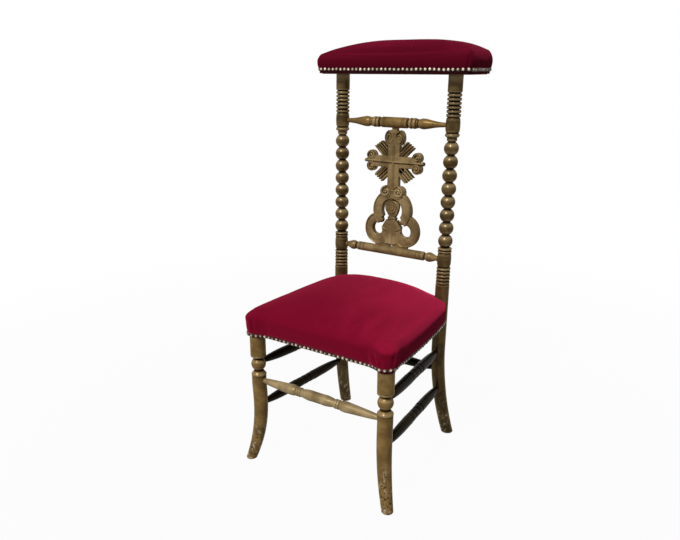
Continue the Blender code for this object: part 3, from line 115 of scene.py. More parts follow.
# Bars
FRONT_STRETCHER_Z = 0.1995
REAR_STRETCHER_Z = 0.1850
SIDE_UPPER_FRONT_Z = 0.2410
SIDE_UPPER_REAR_Z = 0.2330
SIDE_LOWER_Z = 0.1370
BAR_TENON = 0.0110
STRETCHER_END_R = 0.0058
UPPER_SPINDLE_END_R = 0.0049
LOWER_SPINDLE_END_R = 0.0052
UPPER_SPINDLE_R = 0.0120
LOWER_SPINDLE_R = 0.0105

# Grime and painted shade in grooves, rubbing and a painted highlight on crests, of turned work
EDGE_RUN = 0.0040
GROOVE_REACH = 0.0056
GROOVE_DEPTH = 0.0026

# Pierced splat
SPLAT_THICK = 0.0130
SPLAT_SET_BACK = 0.0045
ARCH_R = 0.0495
ARCH_OPENING_R = 0.0260
ARCH_RISE = 0.0965
LOBE_R = 0.0345
LOBE_X = 0.0365
LOBE_RISE = 0.0500
LOBE_STRETCH = 1.10
LOBE_HOLE_R = 0.0135
CUSP_SLOT = 0.0120
FOOT_X = 0.0420
NOTCH = 0.0080
STEM_X = 0.0148
BASE_VOLUTE_R = 0.0146
BASE_VOLUTE_X = 0.0164
BASE_VOLUTE_RISE = 0.1405
CROSS_DROP = 0.0888
CROSS_ARM = 0.0590
CROSS_ARM_HEIGHT = 0.0260
ARM_VOLUTE_R = 0.0120
ARM_VOLUTE_RISE = 0.0125
ARM_KNOB_R = 0.0048
ARCH_PROUD = 0.0014
BASE_VOLUTE_PROUD = 0.0036
ARM_VOLUTE_PROUD = 0.0008
TOP_VOLUTE_PROUD = 0.0006
RIDGE_R = 0.0040
RIDGE_PROUD = 0.0044
LOWER_RIDGE_PROUD = 0.0056
CARVING_SKIN = 0.0008
CARVING_DEPTH = 0.0045
CARVING_RISE = 0.0030
NUB_R = 0.0076
NUB_X = 0.0290
NUB_Y = -0.0008
NUB_RISE = 0.0722
RAYS = 4
# Length, width, skew and bluntness of the rays in each quarter, by its side and lift
RAY_CUTS = {(-1, 1): (0.0610, 0.0062, 0.22, 0.25), (1, 1): (0.0610, 0.0062, 0.22, 0.25),
            (-1, -1): (0.0585, 0.0068, 0.0, 0.60), (1, -1): (0.0600, 0.0070, 0.30, 0.20)}
RAY_STEP = 0.0011
RAY_LEAN = math.radians(44.0)
TOP_VOLUTE_R = 0.0127
TOP_VOLUTE_X = 0.0122
TOP_VOLUTE_STRETCH = 1.38
TOP_VOLUTE_DROP = 0.0345
TOP_TAB_X = 0.0064
FINIAL_BULB_R = 0.0186
FINIAL_NECK_R = 0.0104
FINIAL_BELL_R = 0.0210
FINIAL_FLATNESS = 0.42

# Seat frame and upholstery
RAIL_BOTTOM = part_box("seat_rail_front")[0].z
RAIL_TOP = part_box("seat_rail_front")[1].z
RAIL_MIDDLE = (RAIL_BOTTOM + RAIL_TOP) / 2
RAIL_THICK = 0.0220
RAIL_FRONT_OUT = 0.0060
RAIL_SIDE_OUT = 0.0135
RAIL_SIDE_BOW = 0.0060
RAIL_REAR_OUT = 0.0110
SKIN = 0.0021
HEM = 0.0020
# Where the velvet's upward faces take painted light, by how far their normals point up
LIT_TOP_START = 0.25
LIT_TOP_SPAN = 0.50
# Strip below the nail line darkened as a soiled edge and as painted shade
SOIL_AND_SHADE_ABOVE = 0.0015
SOIL_AND_SHADE_FADE = 0.0030
WEB_WIDTH = 0.0500
WEB_THICK = 0.0015
WEB_PITCH_X = 0.0860
WEB_PITCH_Y = 0.0820
WEB_STEP = (WEB_THICK + FIT) / 2
WEB_Z = RAIL_TOP + FIT + WEB_THICK / 2 + WEB_STEP
HESSIAN_Z = WEB_Z + WEB_STEP + WEB_THICK / 2 + FIT
HESSIAN_THICK = 0.0010
HESSIAN_INSET = 0.0080
STUFFING_Z = HESSIAN_Z + HESSIAN_THICK + FIT
SEAT_MIDDLE_Y = -0.0050
SEAT_EDGE_RISE = 0.0010
SEAT_BULGE = 0.0085
SEAT_SHOULDER = 0.0170
SEAT_CROWN = 0.0400
SEAT_CROWN_POWER = 3.0
SEAT_CORNER_POWER = 18.0
SEAT_EAR_SHARE = 0.5
SEAT_POST_DIP = 0.0060
SEAT_DIP_SPREAD = 5.0
NOTCH_EDGE = 1.09
NOTCH_FADE = 1.5
SLIT_EDGE = 1.05
SLIT_FADE = 0.12
SHOULDER_LOW = 0.3300
SHOULDER_HIGH = 0.3760
SHOULDER_PASSES = 24
SEAT_SWELL = 0.0014
PLEAT_OVERRUN = 0.15
PLEAT_REACH = 4.0
PLEAT_ROLL = 0.55
PLEAT_ROLL_AT = 1.7
SEAT_CELLS = 56

# Crest pad
CREST_BOARD_LOW, CREST_BOARD_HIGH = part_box("crest_board")
CREST_TOP = CREST_BOARD_HIGH.z
CREST_EDGE_Z = CREST_BOARD_LOW.z + SEAT_EDGE_RISE
CREST_MIDDLE = (CREST_BOARD_LOW + CREST_BOARD_HIGH) / 2
CREST_HALF_X = (CREST_BOARD_HIGH.x - CREST_BOARD_LOW.x) / 2
CREST_HALF_Y = (CREST_BOARD_HIGH.y - CREST_BOARD_LOW.y) / 2
CREST_CORNER_R = 0.0130
CREST_BULGE = 0.0045
CREST_SHOULDER = 0.0250
CREST_ROUND = 0.0200
CREST_ROUND_END = math.radians(55.0)
CREST_CROWN = 0.0240
CREST_CROWN_POWER = 2.4
CREST_LOAF_POWER = 6.0
CREST_RIGHT_POWER = 5.0
CREST_RIGHT_RISE = 0.0060
CREST_SWELL = 0.0012
CREST_CELLS = 48

# Brass nails
NAIL_R = 0.0047
NAIL_RISE = 0.0036
NAIL_PITCH = 0.0106
NAIL_TILT = (0.10, 0.10, 0.12)
NAIL_DRIFT = 0.0005
SEAT_NAIL_Z = 0.3142
RIGHT_LEG_LIFT = 0.0038
RIGHT_LEG_SPREAD = 1.6
NAILS_FROM_POST = 1.25
CREST_NAIL_Z = 0.8688

# Mesh and cloth fineness
LATHE_STEPS = 40
CLOTH_FRAMES = 20

SIDES = (("left", -1), ("right", 1))
chance = random.Random(11)


# Shader wiring

class Wire:
    """A socket of a material. Arithmetic on it adds Math nodes."""

    def __init__(self, finish, socket):
        self.finish = finish
        self.socket = socket

    def maths(self, operation, first, second):
        return self.finish.node("ShaderNodeMath", {"operation": operation}, {0: first, 1: second})

    def __add__(self, other):
        return self.maths("ADD", self, other)

    def __sub__(self, other):
        return self.maths("SUBTRACT", self, other)

    def __rsub__(self, other):
        return self.maths("SUBTRACT", other, self)

    def __mul__(self, other):
        return self.maths("MULTIPLY", self, other)

    __radd__ = __add__


class Finish:
    """A material built up from nodes around one Principled shader."""

    def __init__(self, name, **constants):
        self.material = bpy.data.materials.new(name)
        self.material.use_nodes = True
        self.tree = self.material.node_tree
        self.shader = self.tree.nodes["Principled BSDF"]
        for label, value in constants.items():
            self.shader.inputs[label.replace("_", " ")].default_value = value
        self.place = self.node("ShaderNodeTexCoord", output="Object")

    def node(self, kind, settings=None, sockets=None, output=0):
        """Any node: its type, its settings, the values or links of its sockets, and the output used."""
        made = self.tree.nodes.new(kind)
        for label, value in (settings or {}).items():
            setattr(made, label, value)
        for label, value in (sockets or {}).items():
            if isinstance(value, Wire):
                self.tree.links.new(value.socket, made.inputs[label])
            else:
                made.inputs[label].default_value = value
        return Wire(self, made.outputs[output])

    def feed(self, label, wire):
        self.tree.links.new(wire.socket, self.shader.inputs[label])

    def noise(self, scale, detail=3.0, rough=0.5, stretch=(1.0, 1.0, 1.0), twist=0.0):
        """Noise between 0 and 1 over the piece. A small stretch draws it out along that axis."""
        spot = self.node("ShaderNodeMapping", {}, {"Vector": self.place, "Scale": stretch})
        sockets = {"Vector": spot, "Scale": scale, "Detail": detail, "Roughness": rough, "Distortion": twist}
        return self.node("ShaderNodeTexNoise", {}, sockets)

    def step(self, wire, low, high):
        """0 below low and 1 above high, eased between them."""
        sockets = {"Value": wire, "From Min": low, "From Max": high}
        return self.node("ShaderNodeMapRange", {"interpolation_type": "SMOOTHSTEP"}, sockets)

    def blend(self, share, first, second):
        """A colour between two others."""
        colours = {6: first, 7: second}
        for label, colour in colours.items():
            if not isinstance(colour, Wire):
                colours[label] = (*colour, 1.0)
        return self.node("ShaderNodeMix", {"data_type": "RGBA"}, {"Factor": share, **colours}, output=2)

    def mark(self, name):
        """A measure stored on the piece itself."""
        return self.node("ShaderNodeAttribute", {"attribute_name": name}, output="Fac")

    def axis(self, label, vector=None):
        """One coordinate of a vector, or else of the place on the piece."""
        return self.node("ShaderNodeSeparateXYZ", {}, {"Vector": vector or self.place}, output=label)

    def sine(self, wire):
        return self.node("ShaderNodeMath", {"operation": "SINE"}, {0: wire})

    def relief(self, wire, distance, strength=1.0):
        sockets = {"Height": wire, "Distance": distance, "Strength": strength}
        self.feed("Normal", self.node("ShaderNodeBump", {}, sockets, output="Normal"))


# Shades of the old paint, with painted shade in hollows and a painted highlight on proud edges
BROWN_GROUND = (0.085, 0.034, 0.016)
RUBBED_GOLD_AND_HIGHLIGHT = (0.460, 0.350, 0.190)
GRIME_AND_SHADE = (0.012, 0.008, 0.004)
RED_UNDERPAINT = (0.130, 0.052, 0.025)
SCUFFED_WOOD = (0.520, 0.430, 0.300)
FOOT_SPECKS = (0.015, 0.011, 0.007)
CHIPPED = (0.035, 0.022, 0.012)


def gilt_finish(name, gold, bronze, worn, metal=0.16):
    """Old bronze-gold paint: grime and painted shade in hollows, worn pale and lit with a painted highlight
    on proud edges, brown where it has worn.
    """
    finish = Finish(name, Specular_IOR_Level=0.05, Specular_Tint=(1.0, 0.80, 0.46, 1.0))
    hollow = finish.mark("hollow")
    proud = finish.mark("proud")
    cloud = finish.noise(30.0, 4.0, 0.6)
    speckle = finish.noise(420.0, 3.0, 0.7)
    brushed = finish.noise(160.0, 3.0, 0.6, (1.0, 1.0, 0.25))
    colour = finish.blend(finish.step(cloud, 0.36, 0.66), bronze, gold)
    thin = finish.step(speckle * 0.6 + cloud * 0.4, 0.60 - 0.1 * worn, 0.72)
    colour = finish.blend(thin * (0.35 + 0.5 * worn), colour, BROWN_GROUND)
    # Proud edges go pale: rubbing and a painted highlight.
    rubbed_and_highlight = finish.step(proud + (cloud - 0.5) * 0.4, 0.45, 1.1)
    colour = finish.blend(rubbed_and_highlight * 0.40, colour, RUBBED_GOLD_AND_HIGHLIGHT)
    # Hollows go near black: grime and painted shade, which are also rougher and less metallic.
    grime_and_shade = finish.step(hollow + (cloud - 0.5) * 0.30, 0.15, 0.85)
    colour = finish.blend(grime_and_shade * 0.92, colour, GRIME_AND_SHADE)
    height = finish.axis("Z")
    by_seat = finish.step(height, 0.34, 0.37) * (1.0 - finish.step(height, 0.40, 0.44))
    underpaint = by_seat * finish.step(brushed * 0.5 + cloud * 0.5, 0.30, 0.62)
    colour = finish.blend(underpaint * 0.40, colour, RED_UNDERPAINT)
    foot = 1.0 - finish.step(height, 0.03, 0.14)
    scuff = finish.step(finish.noise(120.0, 3.0, 0.6, (1.0, 1.0, 0.5)), 0.54, 0.64) * foot
    colour = finish.blend(scuff * 0.75, colour, SCUFFED_WOOD)
    speck = finish.step(finish.noise(240.0, 2.0, 0.6), 0.57, 0.62) * foot
    colour = finish.blend(speck * 0.95, colour, FOOT_SPECKS)
    chip = finish.step(finish.noise(95.0, 5.0, 0.65), 0.70 - 0.04 * worn, 0.735)
    colour = finish.blend(chip * (0.4 + 0.4 * worn), colour, CHIPPED)
    finish.feed("Base Color", colour)
    finish.feed("Roughness", 0.29 + speckle * 0.08 + grime_and_shade * 0.40)
    finish.feed("Metallic", (1.0 - grime_and_shade) * metal)
    finish.relief(brushed * 0.5 + speckle * 0.35 - chip * 0.6, 0.00035, 0.5)
    return finish.material


def velvet_finish(name, deep, pale, sheen, lean):
    """Crimson velvet: dark seen straight on, paler where the pile is brushed and where it is seen aslant,
    with painted light on its upward faces and painted shade on its sides.

    lean is how much painted sheen pales the velvet from the left front to the right rear.
    """
    finish = Finish(name, Roughness=0.90, Sheen_Weight=sheen, Sheen_Roughness=0.50,
                    Sheen_Tint=(1.0, 0.06, 0.17, 1.0), Specular_IOR_Level=0.03)
    # Painted sheen: paler toward the right rear.
    painted_sheen_slope = (finish.axis("X") + finish.axis("Y")) * lean
    brushed = finish.noise(6.0, 2.0, 0.45, (1.0, 0.6, 1.0), 0.6)
    cloud = finish.noise(40.0, 3.0, 0.6, (1.0, 0.25, 1.0))
    pile = finish.noise(1500.0, 2.0, 0.7)
    # Pale pile only on upward faces: brushing, painted sheen and painted light; the sides keep the deep
    # colour as painted shade.
    nap_and_painted_light = finish.step(brushed * 0.65 + cloud * 0.25 + painted_sheen_slope, 0.25, 0.75) * finish.mark("painted_lit_top")
    colour = finish.blend(nap_and_painted_light, deep, pale)
    colour = finish.blend(pile * 0.30, colour, tuple(0.5 * part for part in deep))
    # Near black below the nail line: a soiled edge and painted shade under the nails.
    colour = finish.blend(finish.mark("soil") * 0.9, colour, (0.012, 0.004, 0.005))
    finish.feed("Base Color", colour)
    finish.relief(pile, 0.0004, 0.6)
    return finish.material


def brass_finish():
    """Old brass nails, tarnished at random, with a painted highlight on the top of each dome and painted
    shade toward its rim.
    """
    finish = Finish("brass_nails")
    tarnish_and_glint = finish.mark("tarnish_and_glint")
    patch = finish.noise(600.0, 3.0, 0.6)
    # Pale gold on the tops as painted highlight; near black toward the rims as painted shade with tarnished
    # brass.
    dark_rim_and_tarnish = finish.step(tarnish_and_glint * 0.85 + patch * 0.15, 0.10, 0.45)
    finish.feed("Base Color", finish.blend(dark_rim_and_tarnish, (0.85, 0.70, 0.55), (0.060, 0.036, 0.020)))
    finish.feed("Roughness", 0.34 + dark_rim_and_tarnish * 0.14)
    finish.feed("Metallic", 0.30 - dark_rim_and_tarnish * 0.25)
    finish.relief(patch, 0.0002, 0.4)
    return finish.material


def beech_finish(name, pale, dark):
    """Plain sawn wood with its grain along the piece."""
    finish = Finish(name)
    grain = finish.noise(240.0, 5.0, 0.65, (0.08, 1.0, 1.0))
    flecks = finish.noise(900.0, 2.0, 0.5, (0.3, 1.0, 1.0))
    soil = finish.noise(18.0, 4.0, 0.6)
    colour = finish.blend(grain, dark, pale)
    colour = finish.blend(finish.step(flecks, 0.60, 0.70) * 0.5, colour, (0.16, 0.085, 0.04))
    colour = finish.blend(finish.step(soil, 0.45, 0.70) * 0.45, colour, (0.10, 0.06, 0.035))
    finish.feed("Base Color", colour)
    finish.feed("Roughness", 0.55 + grain * 0.25)
    finish.relief(grain * 0.7 + flecks * 0.3, 0.0004, 0.5)
    return finish.material


def woven_finish(name, thread, pale, dark):
    """Plain weave on the cloth's own flat measure, with threads this wide."""
    finish = Finish(name, Roughness=0.92, Specular_IOR_Level=0.2)
    flat = finish.node("ShaderNodeUVMap", {"uv_map": "cloth"})
    warp = finish.sine(finish.axis("X", flat) * (math.pi / thread))
    weft = finish.sine(finish.axis("Y", flat) * (math.pi / thread))
    slub = finish.noise(300.0, 3.0, 0.7)
    soil = finish.noise(22.0, 4.0, 0.6)
    ridge = finish.step(warp * weft, -0.8, 0.8)
    colour = finish.blend(ridge * 0.6 + slub * 0.4, dark, pale)
    colour = finish.blend(finish.step(soil, 0.42, 0.72) * 0.4, colour, (0.11, 0.075, 0.045))
    finish.feed("Base Color", colour)
    finish.relief(ridge * 0.7 + slub * 0.3, 0.0006, 0.8)
    return finish.material


gilt = gilt_finish("gilt_wood", (0.270, 0.168, 0.058), (0.155, 0.092, 0.031), 0.15)
gilt_dark = gilt_finish("gilt_wood_dark", (0.135, 0.090, 0.037), (0.062, 0.039, 0.015), 0.15, 0.32)
gilt_worn = gilt_finish("gilt_wood_worn", (0.330, 0.232, 0.108), (0.165, 0.110, 0.048), 0.8)
# A paler copy for the front stretcher: painted light where it catches the lamp.
gilt_lit = gilt_finish("gilt_wood_lit", (0.430, 0.320, 0.170), (0.260, 0.185, 0.090), 0.3)
# A near-black copy for the side and rear stretchers: painted shade where the seat shades them, with wear.
gilt_shaded = gilt_finish("gilt_wood_shaded", (0.034, 0.023, 0.010), (0.012, 0.008, 0.004), 0.6, 0.0)
# The seat's velvet pales toward the right rear as painted sheen.
velvet = velvet_finish("crimson_velvet", (0.185, 0.0024, 0.018), (0.410, 0.0110, 0.050), 0.6, 1.2)
crest_velvet = velvet_finish("crimson_velvet_crest", (0.105, 0.0022, 0.012), (0.190, 0.0060, 0.026),
                             0.25, 0.0)
brass = brass_finish()
beech = beech_finish("bare_beech", (0.46, 0.30, 0.165), (0.30, 0.18, 0.09))
jute = woven_finish("jute_webbing", 0.0019, (0.50, 0.37, 0.215), (0.20, 0.135, 0.07))
sacking = woven_finish("hessian", 0.0014, (0.52, 0.41, 0.26), (0.22, 0.16, 0.09))


# Modelling by hand

def clamp(value):
    return min(1.0, max(0.0, value))


def put(name, data):
    """A new object of this mesh, curve, lamp or lens."""
    item = bpy.data.objects.new(name, data)
    bpy.context.scene.collection.objects.link(item)
    return item


def add(maker, name, **settings):
    """A new primitive, alone in the selection."""
    bpy.ops.object.select_all(action="DESELECT")
    maker(**settings)
    item = bpy.context.object
    item.name = name
    return item


def choose(item):
    """Makes one piece the only one selected."""
    bpy.ops.object.select_all(action="DESELECT")
    item.select_set(True)
    bpy.context.view_layer.objects.active = item


def mode(name):
    bpy.ops.object.mode_set(mode=name)


def settle(item):
    """Applies the piece's place, turn and scale to its mesh."""
    choose(item)
    bpy.ops.object.transform_apply(location=True, rotation=True, scale=True)
    return item


def copy_of(item):
    twin = item.copy()
    twin.data = item.data.copy()
    bpy.context.scene.collection.objects.link(twin)
    return twin


def join(name, items):
    """One piece made of several."""
    choose(items[0])
    for item in items:
        item.select_set(True)
    bpy.ops.object.join()
    items[0].name = name
    items[0].data.name = name
    return items[0]


def weld(item):
    """Merges doubled points and turns every face outward."""
    choose(item)
    mode("EDIT")
    bpy.ops.mesh.select_all(action="SELECT")
    bpy.ops.mesh.remove_doubles(threshold=0.00001)
    bpy.ops.mesh.normals_make_consistent(inside=False)
    mode("OBJECT")
    return item


def modify(item, kind, **settings):
    """Adds a modifier and applies it."""
    choose(item)
    modifier = item.modifiers.new(kind.title(), kind)
    for label, value in settings.items():
        setattr(modifier, label, value)
    bpy.ops.object.modifier_apply(modifier=modifier.name)
    return item


def cut(item, cutter):
    return modify(item, "BOOLEAN", operation="DIFFERENCE", solver="EXACT", object=cutter)


def block(size, centre=(0.0, 0.0, 0.0), ease=0.0, turn=0.0):
    """A board of this size with eased edges, turned about Y."""
    item = add(bpy.ops.mesh.primitive_cube_add, "block", size=1.0)
    mode("EDIT")
    bpy.ops.transform.resize(value=size)
    if ease:
        bpy.ops.mesh.bevel(offset=ease, segments=3, affect="EDGES")
    mode("OBJECT")
    item.rotation_euler.y = turn
    item.location = centre
    return settle(item)


def bead(name, radius, centre, squash=(1.0, 1.0, 1.0), segments=16):
    """A small ball, squashed along its axes."""
    item = add(bpy.ops.mesh.primitive_uv_sphere_add, name, segments=segments, ring_count=segments // 2,
               radius=radius)
    item.scale = squash
    item.location = centre
    return settle(item)


def draw_line(name, points, closed=False):
    """A line of points, drawn by extruding one point along it."""
    item = add(bpy.ops.mesh.primitive_plane_add, name, size=0.01)
    mode("EDIT")
    bpy.ops.mesh.select_mode(type="VERT")
    bpy.ops.mesh.select_all(action="SELECT")
    bpy.ops.mesh.merge(type="CENTER")
    bpy.ops.transform.translate(value=points[0])
    for here, there in zip(points, points[1:] + points[:1] if closed else points[1:]):
        move = Vector(there) - Vector(here)
        bpy.ops.mesh.extrude_vertices_move(TRANSFORM_OT_translate={"value": move})
    mode("OBJECT")
    return item


def spin(item, axis, steps=LATHE_STEPS):
    """Spins a drawn line right round an axis through the origin."""
    choose(item)
    mode("EDIT")
    bpy.ops.mesh.select_all(action="SELECT")
    bpy.ops.mesh.spin(steps=steps, angle=2 * math.pi, center=(0.0, 0.0, 0.0), axis=axis)
    mode("OBJECT")
    return weld(item)


def smooth(item, angle=40.0):
    choose(item)
    bpy.ops.object.shade_smooth_by_angle(angle=math.radians(angle))
    return item


def measure(item, name, values):
    """Stores one number for each point of the piece."""
    mark = item.data.attributes.new(name, "FLOAT", "POINT")
    mark.data.foreach_set("value", values)


def dress(item, material, slot, *nodes):
    """Gives a piece its finish and its place in the chair."""
    item.data.materials.clear()
    item.data.materials.append(material)
    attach(item, "root")
    if nodes:
        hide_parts(*nodes)
    return item


# Turned profiles, as (radius, height) pairs from the top down

def ring(top, bottom, radius, root, fullness=0.6, steps=8):
    """A rounded ring between two heights. Low fullness makes it flat with round shoulders."""
    points = []
    for i in range(steps + 1):
        turn = math.pi * i / steps
        rise = max(0.0, math.sin(turn)) ** fullness
        height = (top + bottom) / 2 + (top - bottom) / 2 * math.cos(turn)
        points.append((root + (radius - root) * rise, height))
    return points


def rings(top, count, pitch, radius, depth):
    """A stack of equal rings from a height down."""
    points = []
    for i in range(count):
        start = top - i * pitch
        points += ring(start - 0.10 * pitch, start - 0.90 * pitch, radius, radius - depth)
    return points


def ball(middle, radius, reach, steps=12):
    """Part of a sphere that reaches this far above and below its middle."""
    widest = math.asin(min(1.0, reach / radius))
    turns = [widest * (1.0 - 2.0 * i / steps) for i in range(steps + 1)]
    return [(radius * math.cos(t), middle + radius * math.sin(t)) for t in turns]


def flowing(points, steps=5):
    """A smooth run through points of any dimension, all of them kept."""
    run = [tuple(points[0])]
    for i in range(len(points) - 1):
        before = points[max(0, i - 1)]
        after = points[min(len(points) - 1, i + 2)]
        start, end = points[i], points[i + 1]
        for k in range(1, steps + 1):
            t = k / steps
            spot = []
            for a, b, c, d in zip(before, start, end, after):
                bend = (2 * a - 5 * b + 4 * c - d) * t * t + (3 * b - a - 3 * c + d) * t ** 3
                spot.append(0.5 * (2 * b + (c - a) * t + bend))
            run.append(tuple(spot))
    return run


def barrel(top, height):
    """A swollen drum with turned-in ends."""
    shares = ((0.0026, 0.0), (0.0010, 0.07), (0.0002, 0.30), (0.0, 0.55), (0.0007, 0.85), (0.0028, 1.0))
    return flowing([(POST_R - sink, top - share * height) for sink, share in shares], 3)


def post_profile():
    """A back post, from its tenon in the crest board down to its foot."""
    tenon_top = POST_TOP + POST_TENON
    points = [(0.0, tenon_top), (POST_TENON_R, tenon_top), (POST_TENON_R, POST_TOP)]
    points += [(POST_R - EASE, POST_TOP), (POST_R, POST_TOP - EASE), (POST_R, UPPER_RINGS_TOP + 3 * EASE)]
    points += rings(UPPER_RINGS_TOP, UPPER_RINGS, UPPER_RING_PITCH, POST_R, RING_DEPTH)
    points += barrel(UPPER_BARREL_TOP, BARREL_HEIGHT)
    points += ring(COLLAR_TOP, COVE_TOP, POST_R, POST_R - RING_DEPTH, 0.8)
    cove_bottom = COVE_TOP - COVE_HEIGHT
    points += flowing([(POST_R - RING_DEPTH, COVE_TOP), (COVE_R, COVE_TOP - 0.3 * COVE_HEIGHT),
                       (COVE_R, cove_bottom + 0.2 * COVE_HEIGHT)], 3)
    for i in range(BEADS):
        points += ball(BEADS_TOP - (i + 0.5) * BEAD_PITCH, BEAD_R, 0.485 * BEAD_PITCH)
    points += rings(LOWER_COLLAR_TOP, 2, LOWER_COLLAR_HEIGHT / 2, POST_R, RING_DEPTH)
    points += barrel(LOWER_BARREL_TOP, BARREL_HEIGHT)
    points += rings(LOWER_RINGS_TOP, LOWER_RINGS, LOWER_RING_PITCH, POST_R, RING_DEPTH)
    points += [(POST_R, height) for height in (SHAFT_TOP - 2 * EASE, *PLAIN_SHAFT_STOPS)]
    steps = 20
    for i in range(steps):
        share = i / steps
        points.append((POST_R + (REAR_FOOT_R - POST_R) * share ** 2, REAR_SWEEP_TOP * (1 - share)))
    return points + [(REAR_FOOT_R, EASE), (REAR_FOOT_R - EASE, 0.0), (0.0, 0.0)]


def front_leg_profile():
    """A front leg, from the rails' tops down: drum, neck, ball, collar, shaft and foot."""
    reach = math.sqrt(LEG_BALL_R ** 2 - LEG_NECK_R ** 2)
    drum_bottom = LEG_BALL_Z + reach + LEG_NECK + LEG_CAP_RING
    collar_top = LEG_BALL_Z - reach - LEG_NECK / 2
    shaft_top = collar_top - LEG_COLLAR
    points = [(0.0, RAIL_TOP), (LEG_R - EASE, RAIL_TOP), (LEG_R, RAIL_TOP - EASE)]
    points += [(LEG_R, drum_bottom + EASE)]
    points += ring(drum_bottom, drum_bottom - 0.5 * LEG_CAP_RING, LEG_R, LEG_R - LEG_GROOVE)
    points += ring(drum_bottom - 0.5 * LEG_CAP_RING, drum_bottom - LEG_CAP_RING, LEG_R, LEG_R - LEG_GROOVE)
    points += flowing([(LEG_R - 2 * LEG_GROOVE, drum_bottom - LEG_CAP_RING - 0.4 * LEG_GROOVE),
                       (LEG_NECK_R + LEG_GROOVE, drum_bottom - LEG_CAP_RING - 0.35 * LEG_NECK),
                       (LEG_NECK_R, drum_bottom - LEG_CAP_RING - 0.75 * LEG_NECK)], 3)
    points += ball(LEG_BALL_Z, LEG_BALL_R, reach, 18)
    points += [(LEG_NECK_R, collar_top)]
    points += flowing([(LEG_NECK_R + 0.002, collar_top - 0.08 * LEG_COLLAR),
                       (LEG_SHAFT_R - 0.0022, collar_top - 0.30 * LEG_COLLAR),
                       (LEG_SHAFT_R - 0.0004, collar_top - 0.46 * LEG_COLLAR)], 3)
    points += ring(collar_top - 0.48 * LEG_COLLAR, collar_top - 0.78 * LEG_COLLAR, LEG_SHAFT_R + 0.0006,
                   LEG_SHAFT_R - 0.0004)
    for i in range(2):
        start = collar_top - (0.80 + 0.10 * i) * LEG_COLLAR
        points += [(LEG_SHAFT_R, start), (LEG_SHAFT_R - LEG_GROOVE, start - 0.04 * LEG_COLLAR),
                   (LEG_SHAFT_R, start - 0.09 * LEG_COLLAR)]
    steps = 22
    start = min(FRONT_SWEEP_TOP, shaft_top - LEG_GROOVE)
    for i in range(steps):
        share = i / steps
        points.append((LEG_SHAFT_R + (FRONT_FOOT_R - LEG_SHAFT_R) * share ** 2.4, start * (1 - share)))
    return points + [(FRONT_FOOT_R, EASE), (FRONT_FOOT_R - EASE, 0.0), (0.0, 0.0)]


def post_axis(z):
    """Centre of the right back post at a height."""
    bend = max(0.0, 1.0 - z / REAR_SWEEP_TOP) ** REAR_SWEEP_POWER
    x = POST_X + POST_FLARE * z + REAR_SWEEP_OUT * bend
    return Vector((x, POST_Y + POST_RAKE * z + REAR_SWEEP_BACK * bend, z))


def front_leg_axis(z):
    """Centre of the right front leg at a height."""
    share = max(0.0, 1.0 - z / FRONT_SWEEP_TOP)
    bend = share ** FRONT_SWEEP_POWER - FRONT_BOW * math.sin(math.pi * share)
    return Vector((FRONT_LEG_X + FRONT_SWEEP_OUT * bend, FRONT_LEG_Y - FRONT_SWEEP_FORWARD * bend, z))


def on_side(point, side):
    return Vector((side * point.x, point.y, point.z))


def turn(name, profile):
    """A turned piece about Z, with how deep each point lies in a groove and how proud it stands."""
    kept = [profile[0]]
    for point in profile[1:]:
        run = math.dist(point, kept[-1])
        if run > 3 * EDGE_RUN and abs(point[0] - kept[-1][0]) < EDGE_RUN:
            last = kept[-1]
            for share in (EDGE_RUN / run, 1.0 - EDGE_RUN / run):
                kept.append(tuple(a + (b - a) * share for a, b in zip(last, point)))
        if run > 0.00002:
            kept.append(point)
    item = spin(draw_line(name, [(radius, 0.0, height) for radius, height in kept]), (0.0, 0.0, 1.0))
    # hollow feeds grime and painted shade in the grooves, proud feeds rubbing and a painted highlight on the
    # crests
    hollow = {}
    proud = {}
    for radius, height in kept:
        above = [r for r, h in kept if 0.0 <= h - height < GROOVE_REACH]
        below = [r for r, h in kept if 0.0 <= height - h < GROOVE_REACH]
        level = round(height, 5)
        hollow[level] = min(1.0, min(max(above), max(below)) / GROOVE_DEPTH - radius / GROOVE_DEPTH)
        proud[level] = min(1.0, (radius - min(above + below)) / RING_DEPTH) * (1.0 - hollow[level])
    levels = [round(vertex.co.z, 5) for vertex in item.data.vertices]
    measure(item, "hollow", [hollow.get(level, 0.0) for level in levels])
    measure(item, "proud", [proud.get(level, 0.0) for level in levels])
    return smooth(item)


def swept_leg(name, profile, axis, side, material):
    """A turned leg whose sections follow a curved axis."""
    item = turn(name, profile)
    for vertex in item.data.vertices:
        centre = axis(vertex.co.z)
        vertex.co.x += side * centre.x
        vertex.co.y += centre.y
    return dress(item, material, "gilt_wood", name)


def bar(name, half_profile, start, end, start_radius, end_radius, thin, material):
    """A turned bar between two leg centres. half_profile lists (radius, distance from its middle)."""
    run = (end - start).normalized()
    first = start + run * (start_radius - BAR_TENON)
    last = end - run * (end_radius - BAR_TENON)
    half = (last - first).length / 2
    points = half_profile(half)
    upper = [(radius, distance) for radius, distance in reversed(points)]
    lower = [(radius, -distance) for radius, distance in points]
    item = turn(name, [(0.0, half), (thin, half)] + upper + lower + [(thin, -half), (0.0, -half)])
    item.rotation_mode = "QUATERNION"
    item.rotation_quaternion = run.to_track_quat("Z", "Y")
    item.location = (first + last) / 2
    return dress(settle(item), material, "gilt_wood", name)


def grooves(first, count, pitch, radius, depth):
    """Fine incised lines from a distance outward."""
    points = []
    for i in range(count):
        start = first + i * pitch
        points += [(radius, start), (radius - depth, start + 0.3 * pitch), (radius, start + 0.6 * pitch)]
    return points


def outward(points):
    """A profile listed downward, turned to run outward from a bar's middle."""
    return list(reversed(points))


